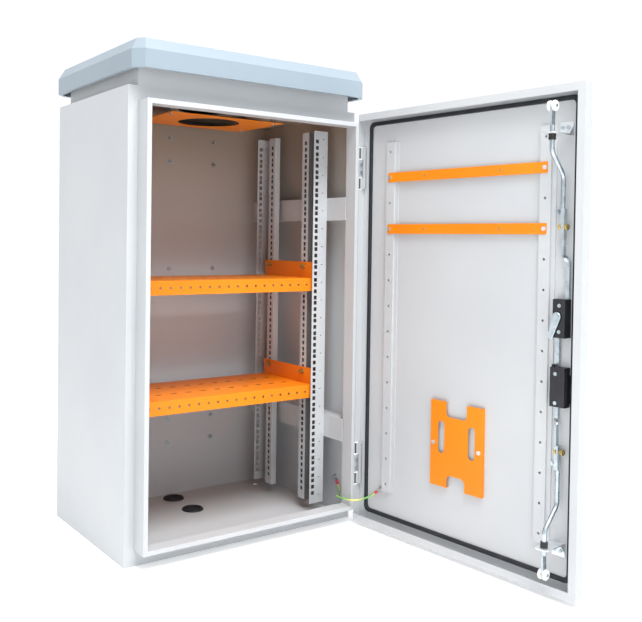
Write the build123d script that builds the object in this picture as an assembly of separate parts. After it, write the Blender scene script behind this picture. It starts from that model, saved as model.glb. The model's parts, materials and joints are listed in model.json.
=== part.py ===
from build123d import *
from math import atan2, cos, degrees, hypot, pi, radians, sin, tan
import os

# Roadside utility cabinet, door open. Millimetres, +X right, +Y back, +Z up.
# The origin is the centre of the base, on the floor.
# Door pieces are drawn on the closed door, in three measures: across, from the
# hinge edge towards the free edge; deep, from the outer face inwards; and height.
# They are then turned about the hinge axis to where the open door stands.
# A cutting block or drum runs 1 mm or more past what it cuts.

# Body
BODY_WIDTH = 600.0
BODY_DEPTH = 400.0
BODY_HEIGHT = 1000.0
SHEET = 1.5
GAP = 0.3
FIT = 0.05
BASE_BOLT_INSET = 50.0
BASE_BOLT_RADIUS = 6.0
FAN_RADIUS = 75.0
FAN_Y = -5.0
GROMMET_RADIUS = 23.0
GROMMET_FLANGE = 4.5
GROMMET_INSETS = (146.0, 42.0)
GROMMET_HIGH = 5.0
GROMMET_WEB = 2.0
GROMMET_SLOPE = 2.0
GROMMET_FOOT = 0.2
NUT_COLUMN = 131.0
NUT_RISES = (141.0, 202.0, 605.0)
NUT_DROPS = (112.0, 51.0)
NUT_RADIUS = 5.5
NUT_HEIGHT = 4.0
NUT_BORE = 2.5

# Rim around the opening
RIM_SIDE = 22.0
RIM_FOOT = 33.0
RIM_HEAD = 31.0
RIM_PROUD = 46.0
RIM_FACE = 10.0
RIM_RETURN = 34.0

# Roof
NECK_INSET = 22.0
NECK_BACK_INSET = 16.0
NECK_HEIGHT = 90.5
NECK_FOOT = 12.0
ROOF_SIDE = 4.0
ROOF_FRONT = 45.0
ROOF_BACK = 18.0
ROOF_CORNER = 21.0
FASCIA_LOW = 30.0
FASCIA_HEIGHT = 38.0
ROOF_SLOPE = 24.0
ROOF_INSET = 14.0
ROOF_LIP = 9.0
VENT_COUNT = 8
VENT_PITCH = 38.0
VENT_WIDTH = 8.0
VENT_HEIGHT = 34.0
VENT_LOW = 44.0

# Fan plate under the ceiling
PLATE_WIDTH = 304.0
PLATE_DEPTH = 200.0
PLATE_DROP = 29.5
PLATE_SCREW_INSET = 12.0
SPACER_RADIUS = 6.0
SCREW_RADIUS = 2.5
HEAD_RADIUS = 4.5
HEAD_HEIGHT = 2.6

# Rails and side beams
RACK_UNIT = 44.45
RAIL_HEADROOM = 30.0
HOLE_STEPS = (6.35, 22.225, 38.1)
HOLE_SIDE = 9.5
RAIL_MARGIN = 19.5
RAIL_LOW = 28.0
RAIL_FACE_IN = 9.75
RAIL_FACE_OUT = 31.95
RAIL_WEB = 39.0
RAIL_FLANGE = 26.0
FRONT_RAIL_SETBACK = 60.0
REAR_RAIL_SETBACK = 85.0
BEAM_HEIGHT = 56.0
BEAM_DEPTH = 34.0
BEAM_RISE = 194.0
BEAM_DROP = 265.0
BEAM_TONGUE = 16.0

# Shelves
SHELF_UNITS = (6, 12)
SHELF_SIDE_GAP = 29.5
SHELF_SETBACK = 10.0
SHELF_END_GAP = 27.0
SHELF_LIP = 32.0
SHELF_EAR = 40.0
SHELF_BACK_LIP = 12.0
LIP_HOLE = 4.5
LIP_PITCH = 25.0
LIP_MARGIN = 20.0
SLOT_LENGTH = 14.0
SLOT_WIDTH = 4.5
SLOT_PITCH = 39.0
SLOT_MARGIN = 30.0
SLOT_ROWS = (68.0, 148.0)
BOLT_RISE = 28.0
BOLT_RADIUS = 3.0
BOLT_HEAD = 6.0
BOLT_HEAD_HEIGHT = 4.0

# Door
DOOR_LIFT = 9.0
DOOR_DROP = 12.0
DOOR_GAP = 7.0
DOOR_OPEN = 94.5
FREE_FLANGE = 24.0
FREE_LIP = 16.0
HINGE_FLANGE = 20.0
HINGE_INSET = 5.78
HINGE_DEEP = 6.25
GASKET_WIDTH = 9.0
GASKET_ROUND = 14.0
GASKET_OFFSET = 1.0

# Hinges
HINGE_RISE = 91.0
HINGE_DROP = 194.0
BRACKET_HEIGHT = 108.0
BRACKET_SHEET = 2.5
BRACKET_FRONT = 8.0
BRACKET_BACK = 38.0
ARM_HEIGHT = 25.0
ARM_THICK = 4.0
ARM_MARGIN = 5.0
BARREL_RADIUS = 4.0
PIN_RADIUS = 2.2
PIN_HEAD = 3.4
PIN_HEAD_HEIGHT = 2.0
LEAF_HEIGHT = 34.0
NOTCH_START = 7.0
NOTCH_MARGIN = 3.0
LEAF_SCREW_DEEP = 14.5
LEAF_SCREW_RISE = 9.0

# Door strips and cross bars
STRIP_EDGE = 93.0
STRIP_FACE = 25.0
STRIP_FOOT = 10.0
STRIP_HEIGHT = 5.5
STRIP_LOW = 95.0
STRIP_DROP = 84.0
STRIP_HOLE = 2.6
STRIP_PITCH = 60.0
STRIP_FIRST = 114.0
BAR_EDGE = 88.0
BAR_STEPS_DOWN = (3, 1)
BAR_ROUND = 2.0
BAR_HEIGHT = 22.0
BAR_HOLE_OFFSET = 101.5

# Document holder
HOLDER_WIDTH = 141.0
HOLDER_LOW = 149.0
HOLDER_HEIGHT = 188.0
HOLDER_DEEP = 8.5
NOTCH_WIDTH = 56.0
NOTCH_DEPTH = 33.0
NOTCH_ROUND = 10.0
ARCH_WIDTH = 49.0
ARCH_HEIGHT = 28.0
ARCH_ROUND = 12.0
HAND_SLOT_WIDTH = 18.0
HAND_SLOT_HEIGHT = 71.0
HAND_SLOT_OFFSET = 41.0
HAND_SLOT_RISE = 108.5

# Three-point lock
LOCK_EDGE = 50.0
LOCK_RISE = 46.0
GEAR_MODULE = 1.0
GEAR_TEETH = 12
GEAR_ANGLE = 25.0
GEAR_BACKLASH = 0.16
GEAR_START = 4.0
BAR_THICK = 4.0
RACK_WIDTH = 9.0
LOCK_TURN = 90.0
RACK_ENDS = (34.0, 22.0)
TWIST_GAPS = (71.0, 24.0)
TWIST_LENGTH = 14.0
JOINT_OFFSETS = (23.0, 27.0)
JOINT_NUT = 3.6
TAIL_LENGTH = 35.0
TONGUE_MARGIN = 12.0
ROD_DEEP = 12.0
ROD_RADIUS = 4.5
TONGUE_THICK = 4.0
TONGUE_WIDTH = 11.0
BEND_INSETS = (153.0, 149.0)
BEND_LENGTH = 42.0
BEND_RADIUS = 22.0
ROD_OUT = 53.0
ROLLER_INSETS = (25.5, 25.0)
ROLLER_RADIUS = 10.0
ROLLER_WIDTH = 5.5
ROLLER_PIN = 2.0
ROLLER_PIN_HEAD = 3.0
ROLLER_PIN_EDGE = 1.5
ROLLER_ROUND = 1.6
TONGUE_LENGTH = 36.0
GUIDE_INSETS = (78.0, 76.0)
GUIDE_FOOT = 27.0
GUIDE_SHEET = 2.5
GUSSET_LENGTH = 15.0
GUSSET_MARGIN = 8.0
GUIDE_WIDTH = 28.0
GUIDE_DEEP = 67.0
GUIDE_ROUND = 8.0
GUIDE_SCREW_RISE = 3.0
GUIDE_SCREWS = (-8.0, 4.0)
BUSH_RADIUS = 7.0
BUSH_NECK = 6.0
BUSH_HEIGHT = 11.0
HOUSING_HIGH = 33.0
HOUSING_LOW = 41.0
HOUSING_WALL = 1.2
HOUSING_STEP = 11.0
HOUSING_DEEP = 24.0
HOUSING_HALF = 13.5
HOUSING_SHIFT = 2.5
HOUSING_ROUND = 1.5
HOUSING_LID = 2.0
HOUSING_SCREW_INSET = 12.0
HOUSING_SCREW_SHIFT = 4.0
HOUSING_SCREW_HEAD = 1.2
LOCK_BOX_DROPS = (174.0, 98.0)
LOCK_BOX_DEEP = 22.0
LOCK_BOX_SCREWS = (8.0, 12.0)
LOCK_BOX_SCREW_SHIFT = 2.0
BULGE = 1.2
BULGE_MARGIN = 7.0
CATCH_SIDE = 5.0
CAM_START = 25.5
CAM_THICK = 3.0
CAM_LENGTH = 41.0
CAM_BOSS = 8.5
CAM_TIP = 5.5
CAM_ANGLE = 18.0
CAM_EDGE = 0.8
COLLAR_RADIUS = 7.0
COLLAR_CLEAR = 2.0
SHAFT_RADIUS = 4.5
RIVET_RADIUS = 6.0
RIVET_HEIGHT = 2.0

# Handle on the outer face
BASE_WIDTH = 32.0
BASE_DROP = 180.0
BASE_RISE = 38.0
BASE_THICK = 8.0
BASE_ROUND = 11.2
BASE_EDGE = 2.0
PLUG_DROP = 138.0
PLUG_RADIUS = 10.0
PLUG_CLEAR = 1.0
KEYWAY_HEIGHT = 9.0
KEYWAY_WIDTH = 2.0
KEYWAY_DEEP = 6.0
HUB_RADIUS = 14.0
HUB_HEIGHT = 4.0
LUG_WIDTH = 10.0
LUG_RADIUS = 5.0
PIVOT_RISE = 6.0
LEVER_PIN = 1.5
LEVER_WIDTH = 22.0
LEVER_THICK = 11.0
LEVER_LENGTH = 110.0
LEVER_ROUND = 8.8
LEVER_SLOT = 10.0

# Earth wire
WIRE_RADIUS = 2.0
WIRE_START = 20.0
WIRE_LEAD = 12.0
SLEEVE_RADIUS = 3.2
LUG_RING = 6.0
LUG_REACH = 9.0
LUG_THICK = 1.2
STUD_RADIUS = 3.0
BODY_STUD_SETBACK = 50.0
BODY_STUD_HEIGHT = 88.0
STUD_OFFSETS = (201.0, -287.0)
STUD_SHIFTS = (15.0, 14.5)
STUD_HEIGHT = 9.0
DOME_RADIUS = 4.5
DOME_HEIGHT = 5.0

# Places worked out from the sizes above
HALF_WIDTH = BODY_WIDTH / 2
FRONT = -BODY_DEPTH / 2
BACK = BODY_DEPTH / 2
INNER_X = HALF_WIDTH - SHEET
CEILING = BODY_HEIGHT - SHEET
RIM_X = HALF_WIDTH - RIM_SIDE
RIM_HIGH = BODY_HEIGHT - RIM_HEAD
RIM_FRONT = FRONT - RIM_PROUD
OPEN_X = RIM_X - RIM_FACE
OPEN_LOW = RIM_FOOT + RIM_FACE
OPEN_HIGH = RIM_HIGH - RIM_FACE
BASE_BOLT_X = HALF_WIDTH - BASE_BOLT_INSET
BASE_BOLT_Y = BACK - BASE_BOLT_INSET
GROMMET_Y = [BACK - inset for inset in GROMMET_INSETS]
NUT_ROWS = [*NUT_RISES, *[BODY_HEIGHT - drop for drop in NUT_DROPS]]
PLATE_Y = (FAN_Y - PLATE_DEPTH / 2, FAN_Y + PLATE_DEPTH / 2)
WEB_X = INNER_X - BEAM_DEPTH
HOLE_COLUMN = WEB_X - RAIL_FACE_OUT
RACK_UNITS = int((CEILING - RAIL_HEADROOM - RAIL_LOW - 2 * RAIL_MARGIN) / RACK_UNIT)
RAIL_HIGH = RAIL_LOW + RACK_UNITS * RACK_UNIT + 2 * RAIL_MARGIN
BEAM_LOWS = (BEAM_RISE, BODY_HEIGHT - BEAM_DROP)
FRONT_RAIL_Y = FRONT + FRONT_RAIL_SETBACK
REAR_RAIL_Y = BACK - REAR_RAIL_SETBACK
FLANGE_MIDDLE = RAIL_WEB + RAIL_FLANGE / 2
SHELF_X = WEB_X - SHELF_SIDE_GAP
SHELF_Y = (FRONT_RAIL_Y + SHELF_SETBACK, REAR_RAIL_Y - SHELF_END_GAP)
LIP_HOLES = 1 + int(2 * (SHELF_X - LIP_MARGIN) / LIP_PITCH)
SLOT_COLUMNS = 1 + int((2 * (SHELF_X - SLOT_MARGIN) - SLOT_LENGTH) / SLOT_PITCH)
FIRST_BOLT = RAIL_LOW + RAIL_MARGIN + HOLE_STEPS[2]
SHELF_TOPS = [FIRST_BOLT + unit * RACK_UNIT - BOLT_RISE for unit in SHELF_UNITS]
DOOR_LOW = DOOR_LIFT
DOOR_HIGH = BODY_HEIGHT - DOOR_DROP
DOOR_FRONT = RIM_FRONT - DOOR_GAP
DOOR_WIDTH = BODY_WIDTH
HINGE_X = HALF_WIDTH - HINGE_INSET
HINGE_Y = DOOR_FRONT + HINGE_DEEP
HINGE_LOWS = (HINGE_RISE, BODY_HEIGHT - HINGE_DROP)
LOCK_ACROSS = DOOR_WIDTH - LOCK_EDGE
LOCK_HEIGHT = BODY_HEIGHT / 2 + LOCK_RISE
LOCK_REACHES = (RIM_HIGH - LOCK_HEIGHT, LOCK_HEIGHT - RIM_FOOT)
LOCK_BOX_LOW = LOCK_HEIGHT - LOCK_BOX_DROPS[0]
LOCK_BOX_HIGH = LOCK_HEIGHT - LOCK_BOX_DROPS[1]
PLUG_HEIGHT = LOCK_HEIGHT - PLUG_DROP
PITCH_RADIUS = GEAR_MODULE * GEAR_TEETH / 2
LOCK_TRAVEL = PITCH_RADIUS * radians(LOCK_TURN)
ROLLER_REACH = [reach - inset for reach, inset in zip(LOCK_REACHES, ROLLER_INSETS)]
GUIDE_REACH = [reach - inset for reach, inset in zip(LOCK_REACHES, GUIDE_INSETS)]
BEND_STARTS = [reach - inset for reach, inset in zip(LOCK_REACHES, BEND_INSETS)]
TWIST_STARTS = (HOUSING_HIGH + TWIST_GAPS[0], LOCK_BOX_DROPS[0] + TWIST_GAPS[1])
RUNS = zip(TWIST_STARTS, BEND_STARTS, JOINT_OFFSETS)
JOINT_BOLTS = [(twist + TWIST_LENGTH + bend) / 2 - offset for twist, bend, offset in RUNS]
TURNED_ENDS = [bolt + TAIL_LENGTH for bolt in JOINT_BOLTS]
STRIPS = (STRIP_EDGE, DOOR_WIDTH - STRIP_EDGE)
STRIP_TOP = SHEET + STRIP_HEIGHT
STRIP_HIGH = BODY_HEIGHT - STRIP_DROP
STRIP_STEPS = int((STRIP_HIGH - 2 * STRIP_HOLE - STRIP_FIRST) / STRIP_PITCH)
BAR_MIDDLES = [STRIP_FIRST + (STRIP_STEPS - step) * STRIP_PITCH for step in BAR_STEPS_DOWN]
BAR_LOWS = [middle - BAR_HEIGHT / 2 for middle in BAR_MIDDLES]
BOLT_Y = (FRONT_RAIL_Y + FLANGE_MIDDLE, REAR_RAIL_Y - FLANGE_MIDDLE)


def block(x, y, z):
    """A block between a low and a high value on each axis."""
    middle = Pos((x[0] + x[1]) / 2, (y[0] + y[1]) / 2, (z[0] + z[1]) / 2)
    return middle * Box(x[1] - x[0], y[1] - y[0], z[1] - z[0])


def drum(axis, start, end, radius, at):
    """A round bar along one axis, from start to end, through the other two values in at."""
    length = end - start
    middle = (start + end) / 2
    if axis == "x":
        return Pos(middle, at[0], at[1]) * Rot(0, 90, 0) * Cylinder(radius, length)
    if axis == "y":
        return Pos(at[0], middle, at[1]) * Rot(90, 0, 0) * Cylinder(radius, length)
    return Pos(at[0], at[1], middle) * Cylinder(radius, length)


def tube(x, y, z, wall):
    """A rectangular tube open at the front and the back."""
    outer = block((-x, x), y, z)
    return outer - block((wall - x, x - wall), (y[0] - 1, y[1] + 1), (z[0] + wall, z[1] - wall))


def door_x(across):
    """The place across the closed door, as an X value."""
    return HALF_WIDTH - across


def door_y(deep):
    """The depth into the closed door, as a Y value."""
    return DOOR_FRONT + deep


def door_block(across, deep, height):
    """A block on the closed door."""
    x = (door_x(across[1]), door_x(across[0]))
    return block(x, (door_y(deep[0]), door_y(deep[1])), height)


def door_drum(across, height, deep, radius):
    """A round bar square to the closed door."""
    return drum("y", door_y(deep[0]), door_y(deep[1]), radius, (door_x(across), height))


def door_bar(across, deep, height, radius):
    """A round bar along the closed door's width."""
    return drum("x", door_x(across[1]), door_x(across[0]), radius, (door_y(deep), height))


def hang(piece):
    """A door piece turned from the closed door to where the open door stands."""
    return Pos(HINGE_X, HINGE_Y, 0) * Rot(0, 0, DOOR_OPEN) * Pos(-HINGE_X, -HINGE_Y, 0) * piece


def group(pieces):
    """Several separate solids in one node."""
    solids = []
    for piece in pieces:
        solids.extend(piece.solids())
    return Compound(solids)


def cabinet_shell():
    """Folded sides, back, top and floor, open at the front behind the frame."""
    y = (FRONT + SHEET, BACK)
    shell = block((-HALF_WIDTH, HALF_WIDTH), y, (0, BODY_HEIGHT))
    uprights = shell.edges().filter_by(Axis.Z).group_by(Axis.Y)[-1]
    shell = fillet(uprights, 2 * SHEET)
    shell -= block((-INNER_X, INNER_X), (y[0] - 1, BACK - SHEET), (SHEET, CEILING))
    cuts = [drum("z", CEILING - 1, BODY_HEIGHT + 1, FAN_RADIUS, (0, FAN_Y))]
    for x in (-BASE_BOLT_X, BASE_BOLT_X):
        for bolt_y in (-BASE_BOLT_Y, BASE_BOLT_Y):
            cuts.append(drum("z", -1, SHEET + 1, BASE_BOLT_RADIUS, (x, bolt_y)))
    for grommet_y in GROMMET_Y:
        cuts.append(drum("z", -1, SHEET + 1, GROMMET_RADIUS, (0, grommet_y)))
    return shell - cuts


def back_nuts():
    """Hexagon weld nuts on the inner face of the back wall."""
    outline = RegularPolygon(NUT_RADIUS, 6) - Circle(NUT_BORE)
    nut = Rot(90, 0, 0) * extrude(outline, NUT_HEIGHT)
    nuts = []
    for x in (-NUT_COLUMN, 0, NUT_COLUMN):
        for z in NUT_ROWS:
            nuts.append(Pos(x, BACK - SHEET, z) * nut)
    return group(nuts)


def front_frame():
    """The front wall with a folded rim: outer wall, narrow face and inner return."""
    plate = block((-HALF_WIDTH, HALF_WIDTH), (FRONT, FRONT + SHEET), (0, BODY_HEIGHT))
    plate -= block((-RIM_X, RIM_X), (FRONT - 1, FRONT + 3), (RIM_FOOT, RIM_HIGH))
    outer = block((-RIM_X, RIM_X), (RIM_FRONT, FRONT + SHEET), (RIM_FOOT, RIM_HIGH))
    corners = outer.edges().filter_by(Axis.Y)
    outer = fillet(corners, SHEET)
    face_edges = outer.faces().sort_by(Axis.Y)[0].edges()
    outer = fillet(face_edges, SHEET * 0.9)
    wall_x = RIM_X - SHEET
    cavity_y = (RIM_FRONT + SHEET, FRONT + 3)
    outer -= block((-wall_x, wall_x), cavity_y, (RIM_FOOT + SHEET, RIM_HIGH - SHEET))
    outer -= block((-OPEN_X, OPEN_X), (RIM_FRONT - 1, FRONT + 3), (OPEN_LOW, OPEN_HIGH))
    edge = OPEN_X + SHEET
    inner_y = (RIM_FRONT + SHEET / 2, RIM_FRONT + RIM_RETURN)
    inner = tube(edge, inner_y, (OPEN_LOW - SHEET, OPEN_HIGH + SHEET), SHEET)
    return plate + outer + inner


def eight_sided(x, y, corner):
    """A rectangle in plan with its four corners cut off at 45 degrees."""
    outline = Pos((x[0] + x[1]) / 2, (y[0] + y[1]) / 2) * Rectangle(x[1] - x[0], y[1] - y[0])
    return chamfer(outline.vertices(), corner)


def set_in(corner, inset):
    """The size of a cut corner after its outline has moved inwards."""
    return corner - inset * (2 - 2 ** 0.5)


def roof_shape(inset, low, high, top):
    """The roof's outside moved inwards: an upright fascia and a sloping hip above it."""
    x = HALF_WIDTH + ROOF_SIDE - inset
    y = (FRONT - ROOF_FRONT + inset, BACK + ROOF_BACK - inset)
    corner = set_in(ROOF_CORNER, inset)
    foot = eight_sided((-x, x), y, corner)
    crown_y = (y[0] + ROOF_INSET, y[1] - ROOF_INSET)
    crown = eight_sided((ROOF_INSET - x, x - ROOF_INSET), crown_y, set_in(corner, ROOF_INSET))
    fascia = Pos(0, 0, low) * extrude(foot, high - low)
    return fascia + loft([Pos(0, 0, high) * foot, Pos(0, 0, top) * crown])


def roof_cap():
    """The roof: a folded hood with a return lip inside its lower edge."""
    low = BODY_HEIGHT + FASCIA_LOW
    high = low + FASCIA_HEIGHT
    top = high + ROOF_SLOPE
    hood = roof_shape(0, low, high, top)
    hollow = roof_shape(SHEET, low + SHEET, high - SHEET / 2, top - SHEET)
    x = HALF_WIDTH + ROOF_SIDE - ROOF_LIP
    y = (FRONT - ROOF_FRONT + ROOF_LIP, BACK + ROOF_BACK - ROOF_LIP)
    mouth = extrude(eight_sided((-x, x), y, set_in(ROOF_CORNER, ROOF_LIP)), 3)
    return hood - hollow - Pos(0, 0, low - 1) * mouth


def roof_neck():
    """The band between body and roof, with air slots hidden behind the fascia."""
    x = HALF_WIDTH - NECK_INSET
    y = (FRONT, BACK - NECK_BACK_INSET)
    z = (BODY_HEIGHT, BODY_HEIGHT + NECK_HEIGHT)
    neck = block((-x, x), y, z)
    neck -= block((SHEET - x, x - SHEET), (y[0] + SHEET, y[1] - SHEET), (z[0] + SHEET, z[1] + 1))
    inner_x = x - NECK_FOOT
    inner_y = (y[0] + NECK_FOOT, y[1] - NECK_FOOT)
    neck -= block((-inner_x, inner_x), inner_y, (z[0] - 1, z[0] + 3))
    slot_z = (z[0] + VENT_LOW, z[0] + VENT_LOW + VENT_HEIGHT)
    slots = []
    for index in range(VENT_COUNT):
        middle = (index - (VENT_COUNT - 1) / 2) * VENT_PITCH + (y[0] + y[1]) / 2
        slot_y = (middle - VENT_WIDTH / 2, middle + VENT_WIDTH / 2)
        slots.append(block((-x - 1, x + 1), slot_y, slot_z))
    return neck - slots


def plate_corners():
    """The four screw places of the fan plate."""
    x = PLATE_WIDTH / 2 - PLATE_SCREW_INSET
    rows = (PLATE_Y[0] + 2 * PLATE_SCREW_INSET, PLATE_Y[1] - 2 * PLATE_SCREW_INSET)
    return [(side, row) for side in (-x, x) for row in rows]


def fan_plate():
    """The plate that carries a fan, under the hole in the ceiling."""
    low = BODY_HEIGHT - SHEET - PLATE_DROP
    x = PLATE_WIDTH / 2
    plate = block((-x, x), PLATE_Y, (low, low + SHEET))
    cuts = [drum("z", low - 1, low + SHEET + 1, FAN_RADIUS, (0, FAN_Y))]
    for place in plate_corners():
        cuts.append(drum("z", low - 1, low + SHEET + 1, SCREW_RADIUS, place))
    return plate - cuts


def fan_plate_fixings():
    """Spacers between plate and ceiling, each with its screw from below."""
    low = BODY_HEIGHT - SHEET - PLATE_DROP
    fixings = []
    for place in plate_corners():
        spacer = drum("z", low + SHEET, CEILING, SPACER_RADIUS, place)
        shank = drum("z", low, low + SHEET, SCREW_RADIUS, place)
        head = drum("z", low - HEAD_HEIGHT, low, HEAD_RADIUS, place)
        fixings.append(spacer + shank + head)
    return group(fixings)


def rail():
    """The front right rail: a stepped profile with two columns of square holes."""
    inner = HOLE_COLUMN - RAIL_FACE_IN
    web = WEB_X - SHEET
    flange = SHELF_X + SHEET
    deep = RAIL_WEB + RAIL_FLANGE
    rail_z = (RAIL_LOW, RAIL_HIGH)
    face = block((inner, WEB_X), (0, SHEET), rail_z)
    side = block((web, WEB_X), (0, RAIL_WEB), rail_z)
    step = block((SHELF_X, WEB_X), (RAIL_WEB - SHEET, RAIL_WEB), rail_z)
    back = block((SHELF_X, flange), (RAIL_WEB - SHEET, deep), rail_z)
    half = HOLE_SIDE / 2
    holes = []
    for unit in range(RACK_UNITS):
        start = RAIL_LOW + RAIL_MARGIN + unit * RACK_UNIT
        for step_up in HOLE_STEPS:
            x = (HOLE_COLUMN - half, HOLE_COLUMN + half)
            holes.append(block(x, (-1, 3), (start + step_up - half, start + step_up + half)))
        middle = start + HOLE_STEPS[2]
        y = (FLANGE_MIDDLE - half, FLANGE_MIDDLE + half)
        holes.append(block((SHELF_X - 1, flange + 1), y, (middle - half, middle + half)))
    return Pos(0, FRONT_RAIL_Y, 0) * (face + side + step + back - holes)


def rear(piece):
    """A front rail mirrored to the rear rail's place."""
    return mirror(piece, Plane.XZ.offset(-(FRONT_RAIL_Y + REAR_RAIL_Y) / 2))


def left(piece):
    """A piece mirrored to the left side."""
    return mirror(piece, Plane.YZ)


def side_beam(low):
    """A channel on the right side wall that the rails stand against; its web runs on into the rim."""
    half = BACK - SHEET
    z = (low, low + BEAM_HEIGHT)
    beam = block((WEB_X, INNER_X), (-half, half), z)
    beam += block((WEB_X, WEB_X + SHEET), (-half - BEAM_TONGUE, half), z)
    cavity = block((WEB_X + SHEET, INNER_X + 1), (-half - 1, half + 1), (z[0] + SHEET, z[1] - SHEET))
    return beam - cavity


def shelf(top):
    """A slotted shelf with a front lip and ears that bolt to the rails."""
    y = SHELF_Y
    plate = block((-SHELF_X, SHELF_X), y, (top - SHEET, top))
    lip = block((-SHELF_X, SHELF_X), (y[0], y[0] + SHEET), (top - SHELF_LIP, top))
    back_lip = block((-SHELF_X, SHELF_X), (y[1] - SHEET, y[1]), (top - SHELF_BACK_LIP, top))
    ear = block((SHELF_X - SHEET, SHELF_X), y, (top - SHEET, top + SHELF_EAR))
    body = plate + lip + back_lip + ear + left(ear)
    front_edge = body.edges().filter_by(Axis.X).filter_by_position(Axis.Z, top - 0.01, top + 0.01)
    body = fillet(front_edge.group_by(Axis.Y)[0], SHEET * 0.9)
    cuts = []
    hole_z = top - SHELF_LIP / 2
    half = LIP_HOLE / 2
    for index in range(LIP_HOLES):
        x = (index - (LIP_HOLES - 1) / 2) * LIP_PITCH
        cuts.append(block((x - half, x + half), (y[0] - 1, y[0] + 3), (hole_z - half, hole_z + half)))
    for index in range(SLOT_COLUMNS):
        x = (index - (SLOT_COLUMNS - 1) / 2) * SLOT_PITCH
        slot_x = (x - SLOT_LENGTH / 2, x + SLOT_LENGTH / 2)
        for row in SLOT_ROWS:
            slot_y = (y[0] + row - SLOT_WIDTH / 2, y[0] + row + SLOT_WIDTH / 2)
            cuts.append(block(slot_x, slot_y, (top - SHEET - 1, top + 1)))
    for bolt_y in BOLT_Y:
        ends = (-SHELF_X - 1, SHELF_X + 1)
        cuts.append(drum("x", ends[0], ends[1], BOLT_RADIUS, (bolt_y, top + BOLT_RISE)))
    return body - cuts


def shelf_bolts():
    """Hexagon bolts through the shelf ears into the rails, with their nuts."""
    hexagon = extrude(RegularPolygon(BOLT_HEAD, 6), BOLT_HEAD_HEIGHT)
    grip = 2 * SHEET
    shank = Pos(0, 0, (BOLT_HEAD_HEIGHT + grip) / 2) * Cylinder(BOLT_RADIUS, BOLT_HEAD_HEIGHT + grip)
    bolt = Pos(0, 0, -BOLT_HEAD_HEIGHT) * hexagon + shank + Pos(0, 0, grip) * hexagon
    bolts = []
    for top in SHELF_TOPS:
        for bolt_y in BOLT_Y:
            placed = Pos(SHELF_X - SHEET, bolt_y, top + BOLT_RISE) * Rot(0, 90, 0) * bolt
            bolts.extend([placed, left(placed)])
    return group(bolts)


def cable_grommets():
    """Rubber grommets in the floor, each with a thin web to cut open for a cable."""
    flange = GROMMET_RADIUS + GROMMET_FLANGE
    inner = GROMMET_RADIUS - 2 * GROMMET_SLOPE
    waist = GROMMET_RADIUS - GAP
    profile = Polyline((0, GROMMET_WEB), (inner, GROMMET_WEB), (inner + GROMMET_SLOPE, GROMMET_HIGH),
                       (flange - GROMMET_SLOPE, GROMMET_HIGH), (flange, SHEET), (waist, SHEET),
                       (waist, GROMMET_FOOT), (0, GROMMET_FOOT), close=True)
    ring = revolve(Plane.XZ * make_face(profile), Axis.Z)
    return group([Pos(0, y, 0) * ring for y in GROMMET_Y])


def hinge_zones(low):
    """The heights that the bracket's two arms take."""
    first = low + ARM_MARGIN
    last = low + BRACKET_HEIGHT - ARM_MARGIN
    return (first, first + ARM_HEIGHT), (last - ARM_HEIGHT, last)


def leaf_zone(low):
    """The heights that the door leaf takes, midway between the arms."""
    middle = low + BRACKET_HEIGHT / 2
    return middle - LEAF_HEIGHT / 2, middle + LEAF_HEIGHT / 2


def hinge_bracket(low):
    """The fixed half of a hinge: a plate on the rim, two arms and two barrels."""
    start_y = RIM_FRONT + BRACKET_FRONT
    plate_x = (RIM_X, RIM_X + BRACKET_SHEET)
    end_y = RIM_FRONT + BRACKET_BACK
    bracket = block(plate_x, (start_y, end_y), (low, low + BRACKET_HEIGHT))
    arm_x = RIM_X + BRACKET_SHEET / 2
    arm_y = start_y - ARM_THICK / 2
    reach = hypot(HINGE_X - arm_x, HINGE_Y - arm_y)
    turn = degrees(atan2(HINGE_Y - arm_y, HINGE_X - arm_x))
    leaf_low, leaf_high = leaf_zone(low)
    zones = hinge_zones(low)
    for zone in zones:
        height = zone[1] - zone[0]
        middle = (zone[0] + zone[1]) / 2
        arm = Pos(reach / 2, 0, 0) * Box(reach, ARM_THICK, height)
        bracket += Pos(arm_x, arm_y, middle) * Rot(0, 0, turn) * arm
        bracket += block(plate_x, (arm_y - ARM_THICK / 2, end_y), zone)
    axis = (HINGE_X, HINGE_Y)
    bracket += drum("z", zones[0][0], leaf_low - GAP, BARREL_RADIUS, axis)
    bracket += drum("z", leaf_high + GAP, zones[1][1], BARREL_RADIUS, axis)
    bore = drum("z", low - 1, low + BRACKET_HEIGHT + 1, PIN_RADIUS + FIT, axis)
    return bracket - bore


def hinge_pins():
    """One pin in each hinge, with a head on top of the upper barrel."""
    pins = []
    for low in HINGE_LOWS:
        bottom = hinge_zones(low)[0][0]
        top = hinge_zones(low)[1][1]
        axis = (HINGE_X, HINGE_Y)
        shank = drum("z", bottom, top + 1, PIN_RADIUS, axis)
        pins.append(shank + drum("z", top, top + PIN_HEAD_HEIGHT, PIN_HEAD, axis))
    return group(pins)


def hinge_leaf(low):
    """The door half of a hinge: a plate inside the flange and the middle barrel."""
    zone = leaf_zone(low)
    across = (SHEET, 2 * SHEET)
    plate = door_block(across, (HINGE_DEEP - BARREL_RADIUS, HINGE_FLANGE - 1), zone)
    leaf = plate + drum("z", zone[0], zone[1], BARREL_RADIUS, (HINGE_X, HINGE_Y))
    leaf -= drum("z", zone[0] - 1, zone[1] + 1, PIN_RADIUS + FIT, (HINGE_X, HINGE_Y))
    return hang(leaf)


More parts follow.
